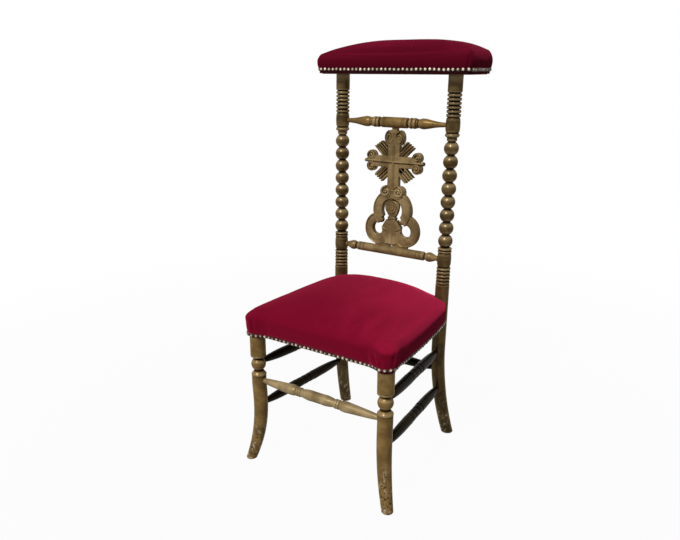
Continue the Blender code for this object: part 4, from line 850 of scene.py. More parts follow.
def side_turning(half):
    """Three plain rings, a shoulder and a long taper to the thin end."""
    width = 0.0190
    points = outward(ring(width / 2, -width / 2, 0.0108, 0.0090, 0.35, 12))[6:]
    points += outward(ring(1.5 * width, width / 2, 0.0109, 0.0090, 0.35, 12))
    points += flowing([(0.0092, 1.5 * width), (0.0112, 1.5 * width + 0.0018), (0.0113, 1.5 * width + 0.008),
                       (0.0107, 0.55 * half), (0.0086, 0.78 * half), (STRETCHER_END_R, half - BAR_TENON)], 5)
    return points


def front_turning(half):
    """A ringed double bulge, a neck, a pair of rings and a vase that thins to the end."""
    shoulder = half - BAR_TENON
    points = [(0.0113, 0.0)] + grooves(0.0008, 4, 0.0029, 0.0114, 0.0009)
    points += flowing([(0.0115, 0.0128), (0.0117, 0.0190), (0.0113, 0.0270), (0.0098, 0.0360),
                       (0.0088, 0.0432)], 4)
    for far, near in ((0.0495, 0.0437), (0.0557, 0.0497)):
        points += outward(ring(far, near, 0.0104, 0.0088))
    points += flowing([(0.0090, 0.0560), (0.0110, 0.0605), (0.0118, 0.0670), (0.0117, 0.0735),
                       (0.0101, 0.0960), (0.0079, 0.5 * shoulder + 0.0550), (STRETCHER_END_R, shoulder)], 5)
    return points


def upper_spindle_turning(half):
    """A drum grooved near its ends, then a small ring, a split bead, a collar and a thinning vase."""
    points = [(0.0120, 0.0), (0.0120, 0.0200)] + grooves(0.0205, 4, 0.0027, 0.0120, 0.0012)
    points += [(0.0119, 0.0318), (0.0100, 0.0330), (0.0084, 0.0338)]
    for far, near, radius, root in ((0.0372, 0.0340, 0.0103, 0.0084), (0.0460, 0.0376, 0.0121, 0.0086),
                                    (0.0550, 0.0462, 0.0121, 0.0096), (0.0598, 0.0562, 0.0104, 0.0080)):
        points += outward(ring(far, near, radius, root, 0.7))
    points += flowing([(0.0082, 0.0604), (0.0104, 0.0640), (0.0117, 0.0700), (0.0116, 0.0765),
                       (0.0098, 0.0870), (0.0076, 0.0985), (0.0060, 0.1095),
                       (UPPER_SPINDLE_END_R, half - BAR_TENON)], 4)
    return points


def lower_spindle_turning(half):
    """A long drum with grooves near its ends and a pear at each post."""
    points = [(0.0105, 0.0), (0.0105, 0.0675)] + grooves(0.0680, 2, 0.0028, 0.0105, 0.0010)
    points += [(0.0105, 0.0755)] + grooves(0.0775, 2, 0.0028, 0.0105, 0.0010)
    points += [(0.0104, 0.0880), (0.0090, 0.0895), (0.0073, 0.0915)]
    points += flowing([(0.0073, 0.0918), (0.0098, 0.0960), (0.0111, 0.1010), (0.0109, 0.1055),
                       (0.0090, 0.1110), (0.0066, 0.1170), (LOWER_SPINDLE_END_R, 0.1205)], 4)
    shoulder = half - BAR_TENON
    points += outward(ring(shoulder + 0.0006, shoulder - 0.0026, 0.0066, LOWER_SPINDLE_END_R))
    return points


def turned_frame():
    """Legs, posts, stretchers and spindles."""
    for label, side in SIDES:
        swept_leg("front_leg_" + label, front_leg_profile(), front_leg_axis, side, gilt)
        swept_leg("back_post_" + label, post_profile(), post_axis, side, gilt_dark)
    end = front_leg_axis(FRONT_STRETCHER_Z)
    bar("front_stretcher", front_turning, on_side(end, -1), end, LEG_SHAFT_R, LEG_SHAFT_R, STRETCHER_END_R,
        gilt_lit)
    end = post_axis(REAR_STRETCHER_Z)
    bar("rear_stretcher", side_turning, on_side(end, -1), end, POST_R, POST_R, STRETCHER_END_R, gilt_shaded)
    for label, side in SIDES:
        runs = (("upper", SIDE_UPPER_FRONT_Z, SIDE_UPPER_REAR_Z, LEG_BALL_R),
                ("lower", SIDE_LOWER_Z, SIDE_LOWER_Z, LEG_SHAFT_R))
        for level, front_z, rear_z, radius in runs:
            start = on_side(front_leg_axis(front_z), side)
            end = on_side(post_axis(rear_z), side)
            bar("side_stretcher_%s_%s" % (level, label), side_turning, start, end, radius, POST_R,
                STRETCHER_END_R, gilt_shaded)
    spindles = (("upper_spindle", upper_spindle_turning, UPPER_SPINDLE_Z, UPPER_SPINDLE_END_R, gilt),
                ("lower_spindle", lower_spindle_turning, LOWER_SPINDLE_Z, LOWER_SPINDLE_END_R, gilt_worn))
    for name, turning, z, thin, material in spindles:
        end = post_axis(z)
        bar(name, turning, on_side(end, -1), end, POST_R, POST_R, thin, material)


# Carved splat, in its own upright frame: X across, -Y to the front, Z up from the lower spindle

def band(x, z, outer, inner, front, back, stretch=1.0):
    """A ring of the trefoil: a rounded inner edge, a shallow dip and a bead along its outer rim."""
    rim = 0.0034
    points = [(inner, back), (inner, front + 0.0044), (inner + 0.0007, front + 0.0022)]
    points += [(inner + 0.0026, front + 0.0007), (0.45 * inner + 0.55 * outer, front + 0.0003)]
    points += [(outer - 1.3 * rim, front + 0.0013), (outer - rim, front)]
    points += [(outer - 0.65 * rim, front - 0.0008), (outer - 0.25 * rim, front - 0.0002)]
    points += [(outer, front + 0.0018), (outer, back)]
    item = draw_line("band", [(radius, y, 0.0) for radius, y in points], closed=True)
    spin(item, (0.0, 1.0, 0.0), 72)
    item.scale.z = stretch
    item.location = (x, 0.0, z)
    return settle(item)


def rolled(name, path, thick):
    """A rope along (place, thickness) pairs."""
    curve = bpy.data.curves.new(name, "CURVE")
    curve.dimensions = "3D"
    curve.bevel_depth = thick
    curve.bevel_resolution = 2
    curve.use_fill_caps = True
    line = curve.splines.new("POLY")
    line.points.add(len(path) - 1)
    for point, (place, share) in zip(line.points, path):
        point.co = (*place, 1.0)
        point.radius = share
    item = put(name, curve)
    choose(item)
    bpy.ops.object.convert(target="MESH")
    return weld(item)


def volute(x, z, radius, hand, start, front, stretch=1.0):
    """A scroll: a sunk disc with a rolled spiral and an eye on it."""
    back = 0.5 * SPLAT_THICK
    dish = 0.0036
    points = [(0.0, front + dish), (0.78 * radius, front + dish), (0.88 * radius, front + 0.5 * dish)]
    points += [(0.96 * radius, front + 0.15 * dish), (radius, front + 0.6 * dish)]
    points += [(radius, back), (0.0, back)]
    disc = spin(draw_line("volute", [(r, y, 0.0) for r, y in points]), (0.0, 1.0, 0.0), 36)
    path = []
    steps = 40
    turns = 1.35
    for i in range(steps + 1):
        share = i / steps
        angle = math.radians(start) + hand * 2 * math.pi * turns * share
        reach = radius * (0.85 - 0.60 * share ** 0.9)
        place = (reach * math.cos(angle), front + dish * (0.20 + 0.30 * share), reach * math.sin(angle))
        path.append((place, 1.0 - 0.35 * share))
    scroll = rolled("scroll", path, 0.155 * radius)
    eye = bead("eye", 0.20 * radius, (0.0, front + 0.6 * dish, 0.0), (1.0, 0.9, 1.0))
    item = join("volute", [disc, scroll, eye])
    item.scale.z = stretch
    item.location = (x, 0.0, z)
    return settle(item)


def ray(length, depth, width, tip, skew, blunt):
    """One ray along X: a round reed whose end is drawn to a tooth or a finger."""
    item = add(bpy.ops.mesh.primitive_cylinder_add, "ray", vertices=20, radius=0.5 * width, depth=length)
    item.rotation_euler.y = math.pi / 2
    item.location.x = 0.5 * length
    settle(item)
    item.scale.y = depth / width
    settle(item)
    bpy.context.tool_settings.mesh_select_mode = (False, False, True)
    for face in item.data.polygons:
        face.select = face.normal.x > 0.9
    mode("EDIT")
    bpy.ops.mesh.extrude_region_move(TRANSFORM_OT_translate={"value": (tip, 0.0, skew * width)})
    bpy.ops.transform.resize(value=(1.0, 0.75, blunt))
    mode("OBJECT")
    return settle(item)


def ray_bundle(cross_z, side, lift):
    """Four stepped rays between two arms of the cross. Each bundle is cut a little differently."""
    longest, width, skew, blunt = RAY_CUTS[(side, lift)]
    inner = 0.18 * longest
    tip = 0.0034
    made = []
    for i in range(RAYS):
        reach = longest - i * RAY_STEP - tip - inner
        across = (0.5 * (RAYS - 1) - i) * width
        item = ray(reach, (0.84 + 0.06 * (i % 2)) * SPLAT_THICK, 1.10 * width, tip, skew, blunt)
        run = Vector((side * math.cos(RAY_LEAN), 0.0, lift * math.sin(RAY_LEAN)))
        over = Vector((side * math.sin(RAY_LEAN), 0.0, -lift * math.cos(RAY_LEAN)))
        basis = Matrix((run, Vector((0.0, 1.0, 0.0)), over)).transposed().to_4x4()
        origin = Vector((0.0, 0.0, cross_z)) + run * inner + over * across
        item.matrix_world = Matrix.Translation(origin) @ basis
        made.append(weld(settle(item)))
    return made


def ridge(start, end, wide, thin, proud, front):
    """A sharp roof-like ridge on the front face that narrows from its start to its end."""
    run = Vector(end) - Vector(start)
    item = add(bpy.ops.mesh.primitive_cone_add, "ridge", vertices=4, radius1=wide, radius2=thin,
               depth=run.length)
    item.rotation_euler.y = math.atan2(run.x, run.z)
    item.location = (Vector(start) + Vector(end)) / 2
    settle(item)
    for vertex in item.data.vertices:
        vertex.co.y = front + (vertex.co.y - front) * proud / wide
    return item


def finial():
    """A carved rosebud on a ringed neck and a fluted bell, flattened to the board."""
    neck_z = ARCH_RISE - 0.60 * ARCH_OPENING_R
    top = ARCH_RISE + 0.95 * ARCH_OPENING_R
    bulb = top - neck_z
    bell = neck_z - 0.36 * LOBE_RISE
    bud_shares = ((0.0, 0.0), (0.62, 0.05), (0.93, 0.2), (1.0, 0.42), (0.84, 0.74))
    bud = [(wide * FINIAL_BULB_R, top - drop * bulb) for wide, drop in bud_shares]
    points = flowing(bud + [(FINIAL_NECK_R, top - 0.97 * bulb)], 5)
    for i in range(2):
        start = neck_z - i * 0.105 * bell
        points += ring(start, start - 0.095 * bell, 1.28 * FINIAL_NECK_R, FINIAL_NECK_R, 0.7)
    bell_shares = ((0.62, 0.28), (0.92, 0.38), (1.04, 0.62), (1.22, 1.0))
    skirt = [(wide * FINIAL_BELL_R, neck_z - drop * bell) for wide, drop in bell_shares]
    points += flowing([(FINIAL_NECK_R, neck_z - 0.23 * bell)] + skirt, 5)
    points += [(0.0, neck_z - bell)]
    item = spin(draw_line("finial", [(r, 0.0, z) for r, z in points]), (0.0, 0.0, 1.0), 72)
    low = neck_z - 0.25 * bell
    for vertex in item.data.vertices:
        angle = math.atan2(vertex.co.x, -vertex.co.y)
        if vertex.co.z < low:
            flute = 1.0 + 0.07 * math.cos(14 * angle) * min(1.0, (low - vertex.co.z) / 0.006)
            vertex.co.x *= flute
            vertex.co.y *= flute
        vertex.co.y *= FINIAL_FLATNESS
    parts = [item]
    bud_z = top - 0.44 * bulb
    tall = 1.22

    def on_bud(reach, angle):
        """A place on the bud's front, this share of its half width out from the middle."""
        sink = math.sqrt(max(0.0, 1.0 - reach * reach))
        return (FINIAL_BULB_R * reach * math.cos(angle), -FINIAL_BULB_R * FINIAL_FLATNESS * sink,
                bud_z + tall * FINIAL_BULB_R * reach * math.sin(angle))

    steps = 64
    turns = 2.3
    swirl = []
    for i in range(steps + 1):
        share = i / steps
        angle = math.radians(200.0) - 2 * math.pi * turns * share
        swirl.append((on_bud(0.74 - 0.66 * share, angle), 1.0))
    parts.append(rolled("petal_swirl", swirl, 0.0017))
    for first in (215.0, 335.0, 95.0):
        edge = []
        for i in range(17):
            share = i / 16
            arc = math.sin(math.pi * share)
            place = on_bud(0.80 + 0.16 * arc, math.radians(first + 130.0 * share))
            edge.append((place, 0.6 + 0.4 * arc))
        parts.append(rolled("outer_petal", edge, 0.0020))
    for side in (-1, 1):
        for i in range(3):
            place = (side * (0.48 + 0.27 * i) * FINIAL_BELL_R, -0.0040 + 0.0006 * i,
                     neck_z - (0.30 + 0.10 * i) * bell)
            parts.append(bead("scallop", 0.0052, place, (1.0, 0.62, 0.85)))
    return join("finial", parts)


def drill(radius, x, z, facets):
    """A cylinder that cuts a round opening through the board."""
    item = add(bpy.ops.mesh.primitive_cylinder_add, "drill", vertices=facets, radius=radius,
               depth=4 * SPLAT_THICK)
    item.rotation_euler.x = math.pi / 2
    item.location = (x, 0.0, z)
    return settle(item)


def splat_cutters():
    """The round openings of arch and lobes, the slots that join them, and the notch below."""
    through = 4 * SPLAT_THICK
    cutters = [block((NOTCH, through, NOTCH), (0.0, 0.0, LOWER_SPINDLE_R), turn=math.pi / 4)]
    for side in (-1, 1):
        start = Vector((0.6 * side * ARCH_OPENING_R, 0.0, ARCH_RISE - 0.5 * ARCH_OPENING_R))
        end = Vector((side * (LOBE_X - 0.4 * LOBE_HOLE_R), 0.0, LOBE_RISE + 0.5 * LOBE_HOLE_R))
        run = end - start
        slot = (CUSP_SLOT, through, run.length)
        cutters.append(block(slot, (start + end) / 2, turn=math.atan2(run.x, run.z)))
        cutters.append(drill(LOBE_HOLE_R, side * LOBE_X, LOBE_RISE, 48))
    cutters.append(drill(ARCH_OPENING_R, 0.0, ARCH_RISE, 64))
    return cutters


def carved_splat():
    """The pierced splat: an arch with two lobes, and over it a cross with volutes and rays."""
    lower = post_axis(LOWER_SPINDLE_Z)
    span = post_axis(UPPER_SPINDLE_Z) - lower
    span.x = 0.0
    gap = span.length
    half = 0.5 * SPLAT_THICK
    cross_z = gap - CROSS_DROP
    top_z = gap - TOP_VOLUTE_DROP
    arch = band(0.0, ARCH_RISE, ARCH_R, ARCH_OPENING_R, -half - ARCH_PROUD, half)
    foot = block((2 * FOOT_X, 0.94 * SPLAT_THICK, LOBE_RISE - 0.6 * LOWER_SPINDLE_R),
                 (0.0, 0.0, (LOBE_RISE + 0.6 * LOWER_SPINDLE_R) / 2), 0.0012)
    openings = splat_cutters()
    parts = []
    lobes = [band(side * LOBE_X, LOBE_RISE, LOBE_R, LOBE_HOLE_R, -half, half, LOBE_STRETCH)
             for side in (-1, 1)]
    for item in (arch, foot, *lobes):
        for opening in openings:
            cut(item, opening)
        parts.append(item)
    for side in (-1, 1):
        parts.append(bead("nub", NUB_R, (side * NUB_X, NUB_Y, NUB_RISE), (1.0, 0.98, 1.0), 20))
    for opening in openings:
        bpy.data.objects.remove(opening)
    stem_bottom = ARCH_RISE + ARCH_OPENING_R + 0.2 * (ARCH_R - ARCH_OPENING_R)
    stem = top_z - stem_bottom
    tab = gap - 0.6 * UPPER_SPINDLE_R - top_z
    for half_width, thick, height, middle_z, ease in (
            (STEM_X, 0.92, stem, stem_bottom + stem / 2, 0.0014),
            (CROSS_ARM, 0.90, CROSS_ARM_HEIGHT, cross_z, 0.0014),
            (TOP_TAB_X, 0.95, tab, top_z + tab / 2, 0.001)):
        parts.append(block((2 * half_width, thick * SPLAT_THICK, height), (0.0, 0.0, middle_z), ease))
    front = -0.455 * SPLAT_THICK
    centre = (0.0, front, cross_z)
    parts.append(ridge(centre, (0.0, front, top_z + 0.010), RIDGE_R, 0.60 * RIDGE_R, RIDGE_PROUD, front))
    parts.append(ridge(centre, (0.0, front, BASE_VOLUTE_RISE - 0.006), RIDGE_R, 0.75 * RIDGE_R,
                       LOWER_RIDGE_PROUD, front))
    for side in (-1, 1):
        tip = CROSS_ARM + ARM_VOLUTE_R + ARM_KNOB_R
        parts.append(ridge(centre, (side * tip, front, cross_z), RIDGE_R, 0.75 * RIDGE_R, RIDGE_PROUD,
                           front))
        parts.append(volute(side * BASE_VOLUTE_X, BASE_VOLUTE_RISE, BASE_VOLUTE_R, -side, 90.0,
                            -half - BASE_VOLUTE_PROUD))
        for lift in (-1, 1):
            start = 90.0 - side * lift * 90.0
            parts.append(volute(side * CROSS_ARM, cross_z + lift * ARM_VOLUTE_RISE, ARM_VOLUTE_R,
                                side * lift, start, -half - ARM_VOLUTE_PROUD))
            parts += ray_bundle(cross_z, side, lift)
        parts.append(bead("knob", ARM_KNOB_R, (side * (tip - 0.5 * ARM_KNOB_R), 0.0, cross_z), segments=24))
        parts.append(volute(side * TOP_VOLUTE_X, top_z, TOP_VOLUTE_R, side, 90.0, -half - TOP_VOLUTE_PROUD,
                            TOP_VOLUTE_STRETCH))
    parts.append(finial())
    item = join("carved_splat", parts)
    # hollow darkens the carving toward the board's back as grime and painted shade; proud pales its most
    # forward parts as rubbing and a painted highlight.
    fronts = [vertex.co.y + half for vertex in item.data.vertices]
    depths = [min(front, SPLAT_THICK - front) for front in fronts]
    measure(item, "hollow", [clamp((depth - CARVING_SKIN) / CARVING_DEPTH) for depth in depths])
    measure(item, "proud", [clamp((-CARVING_SKIN - front) / CARVING_RISE) for front in fronts])
    rake = math.atan(POST_RAKE)
    shift = Vector((0.0, SPLAT_SET_BACK * math.cos(rake), -SPLAT_SET_BACK * math.sin(rake)))
    item.location = Vector((0.0, lower.y, lower.z)) + shift
    item.rotation_euler.x = -rake
    smooth(settle(item), 35.0)
    return dress(item, gilt_worn, "gilt_wood", "back_splat")


# Outline of the seat

def ray_circle(direction, start, centre, radius):
    """Distances at which a ray from start enters and leaves a circle, or None if it misses."""
    to_centre = centre - start
    nearest = direction.dot(to_centre)
    spare = radius ** 2 - (to_centre.length_squared - nearest ** 2)
    if spare < 0.0:
        return None
    half = math.sqrt(spare)
    return nearest - half, nearest + half


SEAT_MIDDLE = Vector((0.0, SEAT_MIDDLE_Y))
LEG_SPOT = Vector((FRONT_LEG_X, FRONT_LEG_Y))
POST_SPOT = post_axis(RAIL_MIDDLE).to_2d()


def seat_ray(angle):
    """The direction of a ray from the seat's middle, folded over to the right half."""
    return Vector((abs(math.cos(angle)), math.sin(angle)))


def side_reaches(angle, grow):
    """Distances along a ray to the lines that lie grow outside the rails' outer faces."""
    direction = seat_ray(angle)
    run = POST_SPOT - LEG_SPOT
    normal = Vector((run.y, -run.x)).normalized()
    reaches = []
    across = normal.dot(direction)
    if across > 0.0:
        reach = (normal.dot(LEG_SPOT - SEAT_MIDDLE) + RAIL_SIDE_OUT + grow) / across
        along = (SEAT_MIDDLE + reach * direction - LEG_SPOT).dot(run) / run.length_squared
        reaches.append(reach + RAIL_SIDE_BOW * max(0.0, 1.0 - (2.0 * along - 1.0) ** 2) / across)
    if direction.y < 0.0:
        reaches.append((LEG_SPOT.y - RAIL_FRONT_OUT - grow - SEAT_MIDDLE_Y) / direction.y)
    if direction.y > 0.0:
        reaches.append((POST_SPOT.y + RAIL_REAR_OUT + grow - SEAT_MIDDLE_Y) / direction.y)
    return reaches


def notched(angle, reach, grow, z):
    """A reach held back in front of the back posts."""
    post = post_axis(z).to_2d()
    notch = ray_circle(seat_ray(angle), SEAT_MIDDLE, post, POST_R + SLIT + SKIN - min(grow, SKIN))
    return min(reach, notch[0]) if notch else reach


def leg_reach(angle, grow):
    """Distance to the rails' outline where it goes round the front legs."""
    reach = min(side_reaches(angle, grow))
    ear = ray_circle(seat_ray(angle), SEAT_MIDDLE, LEG_SPOT, LEG_R + SLIT + grow)
    return max(reach, ear[1]) if ear else reach


def seat_reach(angle, grow, z):
    """Distance from the seat's middle to an outline that lies grow outside the rails' outer faces."""
    reach = leg_reach(angle, grow)
    if from_corner(angle, LEG_SPOT, LEG_R) < 3.0:
        span = math.radians(3.0)
        steps = 6
        nearby = [leg_reach(angle + span * i / steps, grow) for i in range(-steps, steps + 1)]
        reach = max(reach, sum(nearby) / len(nearby))
    return notched(angle, reach, grow, z)


def dome_reach(angle, grow, z):
    """As seat_reach, for the seat above its legs: the front corners are round and have no bulge."""
    near = sum(reach ** -SEAT_CORNER_POWER for reach in side_reaches(angle, grow))
    return notched(angle, near ** (-1.0 / SEAT_CORNER_POWER), grow, z)


def from_corner(angle, centre, radius):
    """How far a direction lies from the nearer leg or post, in half widths of it."""
    offset = centre - SEAT_MIDDLE
    half = math.asin((radius + SLIT + SKIN) / offset.length)
    mirrored = math.atan2(math.sin(angle), abs(math.cos(angle)))
    return abs(mirrored - math.atan2(offset.y, offset.x)) / half


def from_post(angle):
    return from_corner(angle, POST_SPOT, POST_R)


def fullness(angle):
    """1 where the stuffing can swell, less over the front legs and 0 at the posts."""
    aways = (from_post(angle), from_corner(angle, LEG_SPOT, LEG_R))
    at_post, at_leg = (clamp((away - NOTCH_EDGE) / NOTCH_FADE) for away in aways)
    return min(at_post, SEAT_EAR_SHARE + (1.0 - SEAT_EAR_SHARE) * at_leg)


def seat_edge(angle):
    """Height of the cover's edge, which is slit down to the rails' tops at the posts."""
    free = clamp((from_post(angle) - SLIT_EDGE) / SLIT_FADE)
    low = RAIL_BOTTOM + SEAT_EDGE_RISE
    return RAIL_TOP + SLIT + (low - RAIL_TOP - SLIT) * free


def seat_point(angle, grow, z, share=1.0):
    """A point at a height of the seat's outline, or this share of the way out to it."""
    reach = share * seat_reach(angle, grow, z)
    return Vector((reach * math.cos(angle), SEAT_MIDDLE_Y + reach * math.sin(angle), z))


def crown_share(point, grow):
    """1 in the seat's middle, 0 along its edges."""
    along_side = (point.y - LEG_SPOT.y) / (POST_SPOT.y - LEG_SPOT.y)
    half = LEG_SPOT.x + (POST_SPOT.x - LEG_SPOT.x) * along_side + RAIL_SIDE_OUT + grow
    front = SEAT_MIDDLE_Y - LEG_SPOT.y + RAIL_FRONT_OUT + grow
    rear = POST_SPOT.y + RAIL_REAR_OUT + grow - SEAT_MIDDLE_Y
    across = min(1.0, abs(point.x) / half)
    deep = min(1.0, abs(point.y - SEAT_MIDDLE_Y) / (front if point.y < SEAT_MIDDLE_Y else rear))
    return (1.0 - across ** SEAT_CROWN_POWER) * (1.0 - deep ** SEAT_CROWN_POWER)


def seat_dome(share, angle):
    """A point of the seat's upper side, from its middle at 0 to its shoulder at 1."""
    shoulder_z = RAIL_TOP + SEAT_SHOULDER
    grow = SKIN - 0.4 * SEAT_BULGE
    edge = dome_reach(angle, grow, shoulder_z)
    wide = dome_reach(0.0, grow, shoulder_z)
    deep = dome_reach(math.copysign(math.pi / 2, math.sin(angle)), grow, shoulder_z)
    oval = 1.0 / ((abs(math.cos(angle)) / wide) ** 3 + (abs(math.sin(angle)) / deep) ** 3) ** (1 / 3)
    blend = share ** 4
    reach = share * (blend * edge + (1.0 - blend) * oval)
    point = Vector((reach * math.cos(angle), SEAT_MIDDLE_Y + reach * math.sin(angle), shoulder_z))
    dip = SEAT_POST_DIP * max(0.0, 1.0 - from_post(angle) / SEAT_DIP_SPREAD)
    point.z += SEAT_CROWN * crown_share(point, grow) - blend * dip
    return point


def seat_wall(angle):
    """Points down the seat's side at one direction, from its shoulder to its nailed edge."""
    side_top = RAIL_TOP + 0.3 * SEAT_SHOULDER
    low = seat_edge(angle)
    full = SEAT_BULGE * fullness(angle)
    points = [seat_dome(1.0, angle)]
    for share, rise in ((0.85, 1.0), (1.0, 0.72), (0.9, 0.46), (0.55, 0.25), (0.0, 0.11), (0.0, 0.0)):
        points.append(seat_point(angle, SKIN + share * full, low + rise * (side_top - low)))
    return [Vector(point) for point in flowing(points, 3)[1:]]


def seat_lining(angle):
    """The inner side: from the edge up past the rail to the sacking."""
    low = seat_edge(angle)
    return [seat_point(angle, FIT, z) for z in (low, (low + STUFFING_Z) / 2, STUFFING_Z)]


# Outline of the crest

def crest_point(angle, grow, z, share=1.0):
    """A point on the rounded rectangle of the crest, by its direction from the middle."""
    half_x = CREST_HALF_X + grow
    half_y = CREST_HALF_Y + grow
    radius = CREST_CORNER_R + grow
    direction = Vector((math.cos(angle), math.sin(angle)))
    reach = min(half_x / max(1e-9, abs(direction.x)), half_y / max(1e-9, abs(direction.y)))
    corner = Vector((half_x - radius, half_y - radius))
    mirrored = Vector((abs(direction.x), abs(direction.y)))
    hit = mirrored * reach
    if hit.x > corner.x and hit.y > corner.y:
        reach = ray_circle(mirrored, Vector((0.0, 0.0)), corner, radius)[1]
    return Vector((share * reach * direction.x, CREST_MIDDLE.y + share * reach * direction.y, z))


def crest_shoulder(angle, lean):
    """A point on the round shoulder of the crest pad, lean round from its swollen side."""
    arc_middle = SKIN + CREST_BULGE - CREST_ROUND
    arc_z = CREST_TOP + CREST_SHOULDER - CREST_ROUND
    grow = arc_middle + CREST_ROUND * math.cos(lean)
    point = crest_point(angle, grow, arc_z + CREST_ROUND * math.sin(lean))
    right = clamp(point.x / CREST_HALF_X)
    point.z += CREST_RIGHT_RISE * right ** 2 * lean / CREST_ROUND_END
    return point


def crest_dome(share, angle):
    """A point of the crest's upper side, from its middle at 0 to the top of its shoulder at 1."""
    edge = crest_shoulder(angle, CREST_ROUND_END)
    middle = Vector((0.0, CREST_MIDDLE.y, edge.z))
    point = middle + (edge - middle) * share
    rim = SKIN + CREST_BULGE - CREST_ROUND * (1.0 - math.cos(CREST_ROUND_END))
    across = min(1.0, abs(point.x) / (CREST_HALF_X + rim))
    deep = min(1.0, abs(point.y - CREST_MIDDLE.y) / (CREST_HALF_Y + rim))
    power = CREST_RIGHT_POWER if point.x > 0.0 else CREST_CROWN_POWER
    loaf = (1.0 - across ** power) * (1.0 - deep ** CREST_LOAF_POWER)
    top_z = CREST_TOP + CREST_SHOULDER + CREST_CROWN
    point.z += (top_z - edge.z) * max(1.0 - share ** CREST_CROWN_POWER, loaf)
    return point


def crest_wall(angle):
    """Points down the crest's side at one direction, from its round shoulder to its nailed edge."""
    points = [crest_shoulder(angle, CREST_ROUND_END * share) for share in (1.0, 0.75, 0.5, 0.25, 0.0)]
    swell_z = CREST_TOP + CREST_SHOULDER - CREST_ROUND
    for full, share in ((0.88, 0.62), (0.55, 0.25), (0.0, 0.0)):
        z = CREST_NAIL_Z + share * (swell_z - CREST_NAIL_Z)
        points.append(crest_point(angle, SKIN + full * CREST_BULGE, z))
    points.append(crest_point(angle, SKIN, CREST_EDGE_Z))
    return [Vector(point) for point in flowing(points, 3)[1:]]


def crest_lining(angle):
    """The inner side: from the edge up past the board to its top."""
    heights = (CREST_EDGE_Z, (CREST_EDGE_Z + CREST_TOP) / 2, CREST_TOP + FIT)
    return [crest_point(angle, FIT, z) for z in heights]


# Stuffed pads

def even_angles(outline, count):
    """Directions from the middle that lie evenly along an outline, from its front left corner on."""
    fine = 4000
    start = -0.75 * math.pi
    turns = [start + 2 * math.pi * i / fine for i in range(fine + 1)]
    spots = [outline(t) for t in turns]
    lengths = [0.0]
    for here, there in zip(spots, spots[1:]):
        lengths.append(lengths[-1] + (there - here).length)
    picked = []
    k = 0
    for i in range(count):
        target = lengths[-1] * i / count
        while lengths[k + 1] < target:
            k += 1
        picked.append(turns[k])
    return picked


def grid_share(u, v):
    """Which ring of a square grid a point lies on, and how far round it from the front left, both 0 to 1."""
    share = max(abs(u), abs(v))
    if share < 1e-6:
        return 0.0, 0.0
    a, b = u / share, v / share
    if b <= -1.0 + 1e-6:
        return share, (a + 1.0) / 8
    if a >= 1.0 - 1e-6:
        return share, (b + 3.0) / 8
    if b >= 1.0 - 1e-6:
        return share, (5.0 - a) / 8
    return share, (7.0 - b) / 8


def between(angles, turned):
    """The direction this far round an outline."""
    spot = turned * len(angles)
    first = int(spot) % len(angles)
    here = angles[first]
    there = angles[(first + 1) % len(angles)]
    if there < here:
        there += 2 * math.pi
    return here + (there - here) * (spot - int(spot))


def pad(name, cells, outline, dome, wall, lining):
    """A stuffed pad: a grid drawn up into a dome, walls down from its rim, a lining and a flat underside."""
    angles = even_angles(outline, 4 * cells)
    row = cells + 1
    squares = [(i, j) for j in range(cells) for i in range(cells)]
    spots = [(i, j, *grid_share(2 * i / cells - 1, 2 * j / cells - 1))
             for j in range(row) for i in range(row)]
    points = []
    for i, j, share, turned in spots:
        points.append(dome(1.0 - (1.0 - share) ** 1.25, between(angles, turned % 1.0)))
    faces = [(j * row + i, j * row + i + 1, (j + 1) * row + i + 1, (j + 1) * row + i) for i, j in squares]
    rim = list(range(cells)) + [cells + j * row for j in range(cells)]
    rim += [cells * row + cells - i for i in range(cells)] + [(cells - j) * row for j in range(cells)]
    runs = [wall(angle) + lining(angle) for angle in angles]
    count = len(angles)
    for level in range(len(runs[0])):
        fresh = list(range(len(points), len(points) + count))
        points += [run[level] for run in runs]
        for i in range(count):
            k = (i + 1) % count
            faces.append((rim[i], fresh[i], fresh[k], rim[k]))
        rim = fresh
    middle = Vector((0.0, outline(0.0).y, runs[0][-1].z))
    floor = {}
    for i, j, share, turned in spots:
        if share > 1.0 - 1e-6:
            floor[i, j] = rim[int(round(turned * count)) % count]
        else:
            edge = Vector(points[rim[int(turned * count) % count]])
            floor[i, j] = len(points)
            points.append(middle + (edge - middle) * share)
    faces += [(floor[i, j], floor[i, j + 1], floor[i + 1, j + 1], floor[i + 1, j]) for i, j in squares]
    mesh = bpy.data.meshes.new(name)
    mesh.from_pydata(points, [], faces)
    return weld(put(name, mesh))


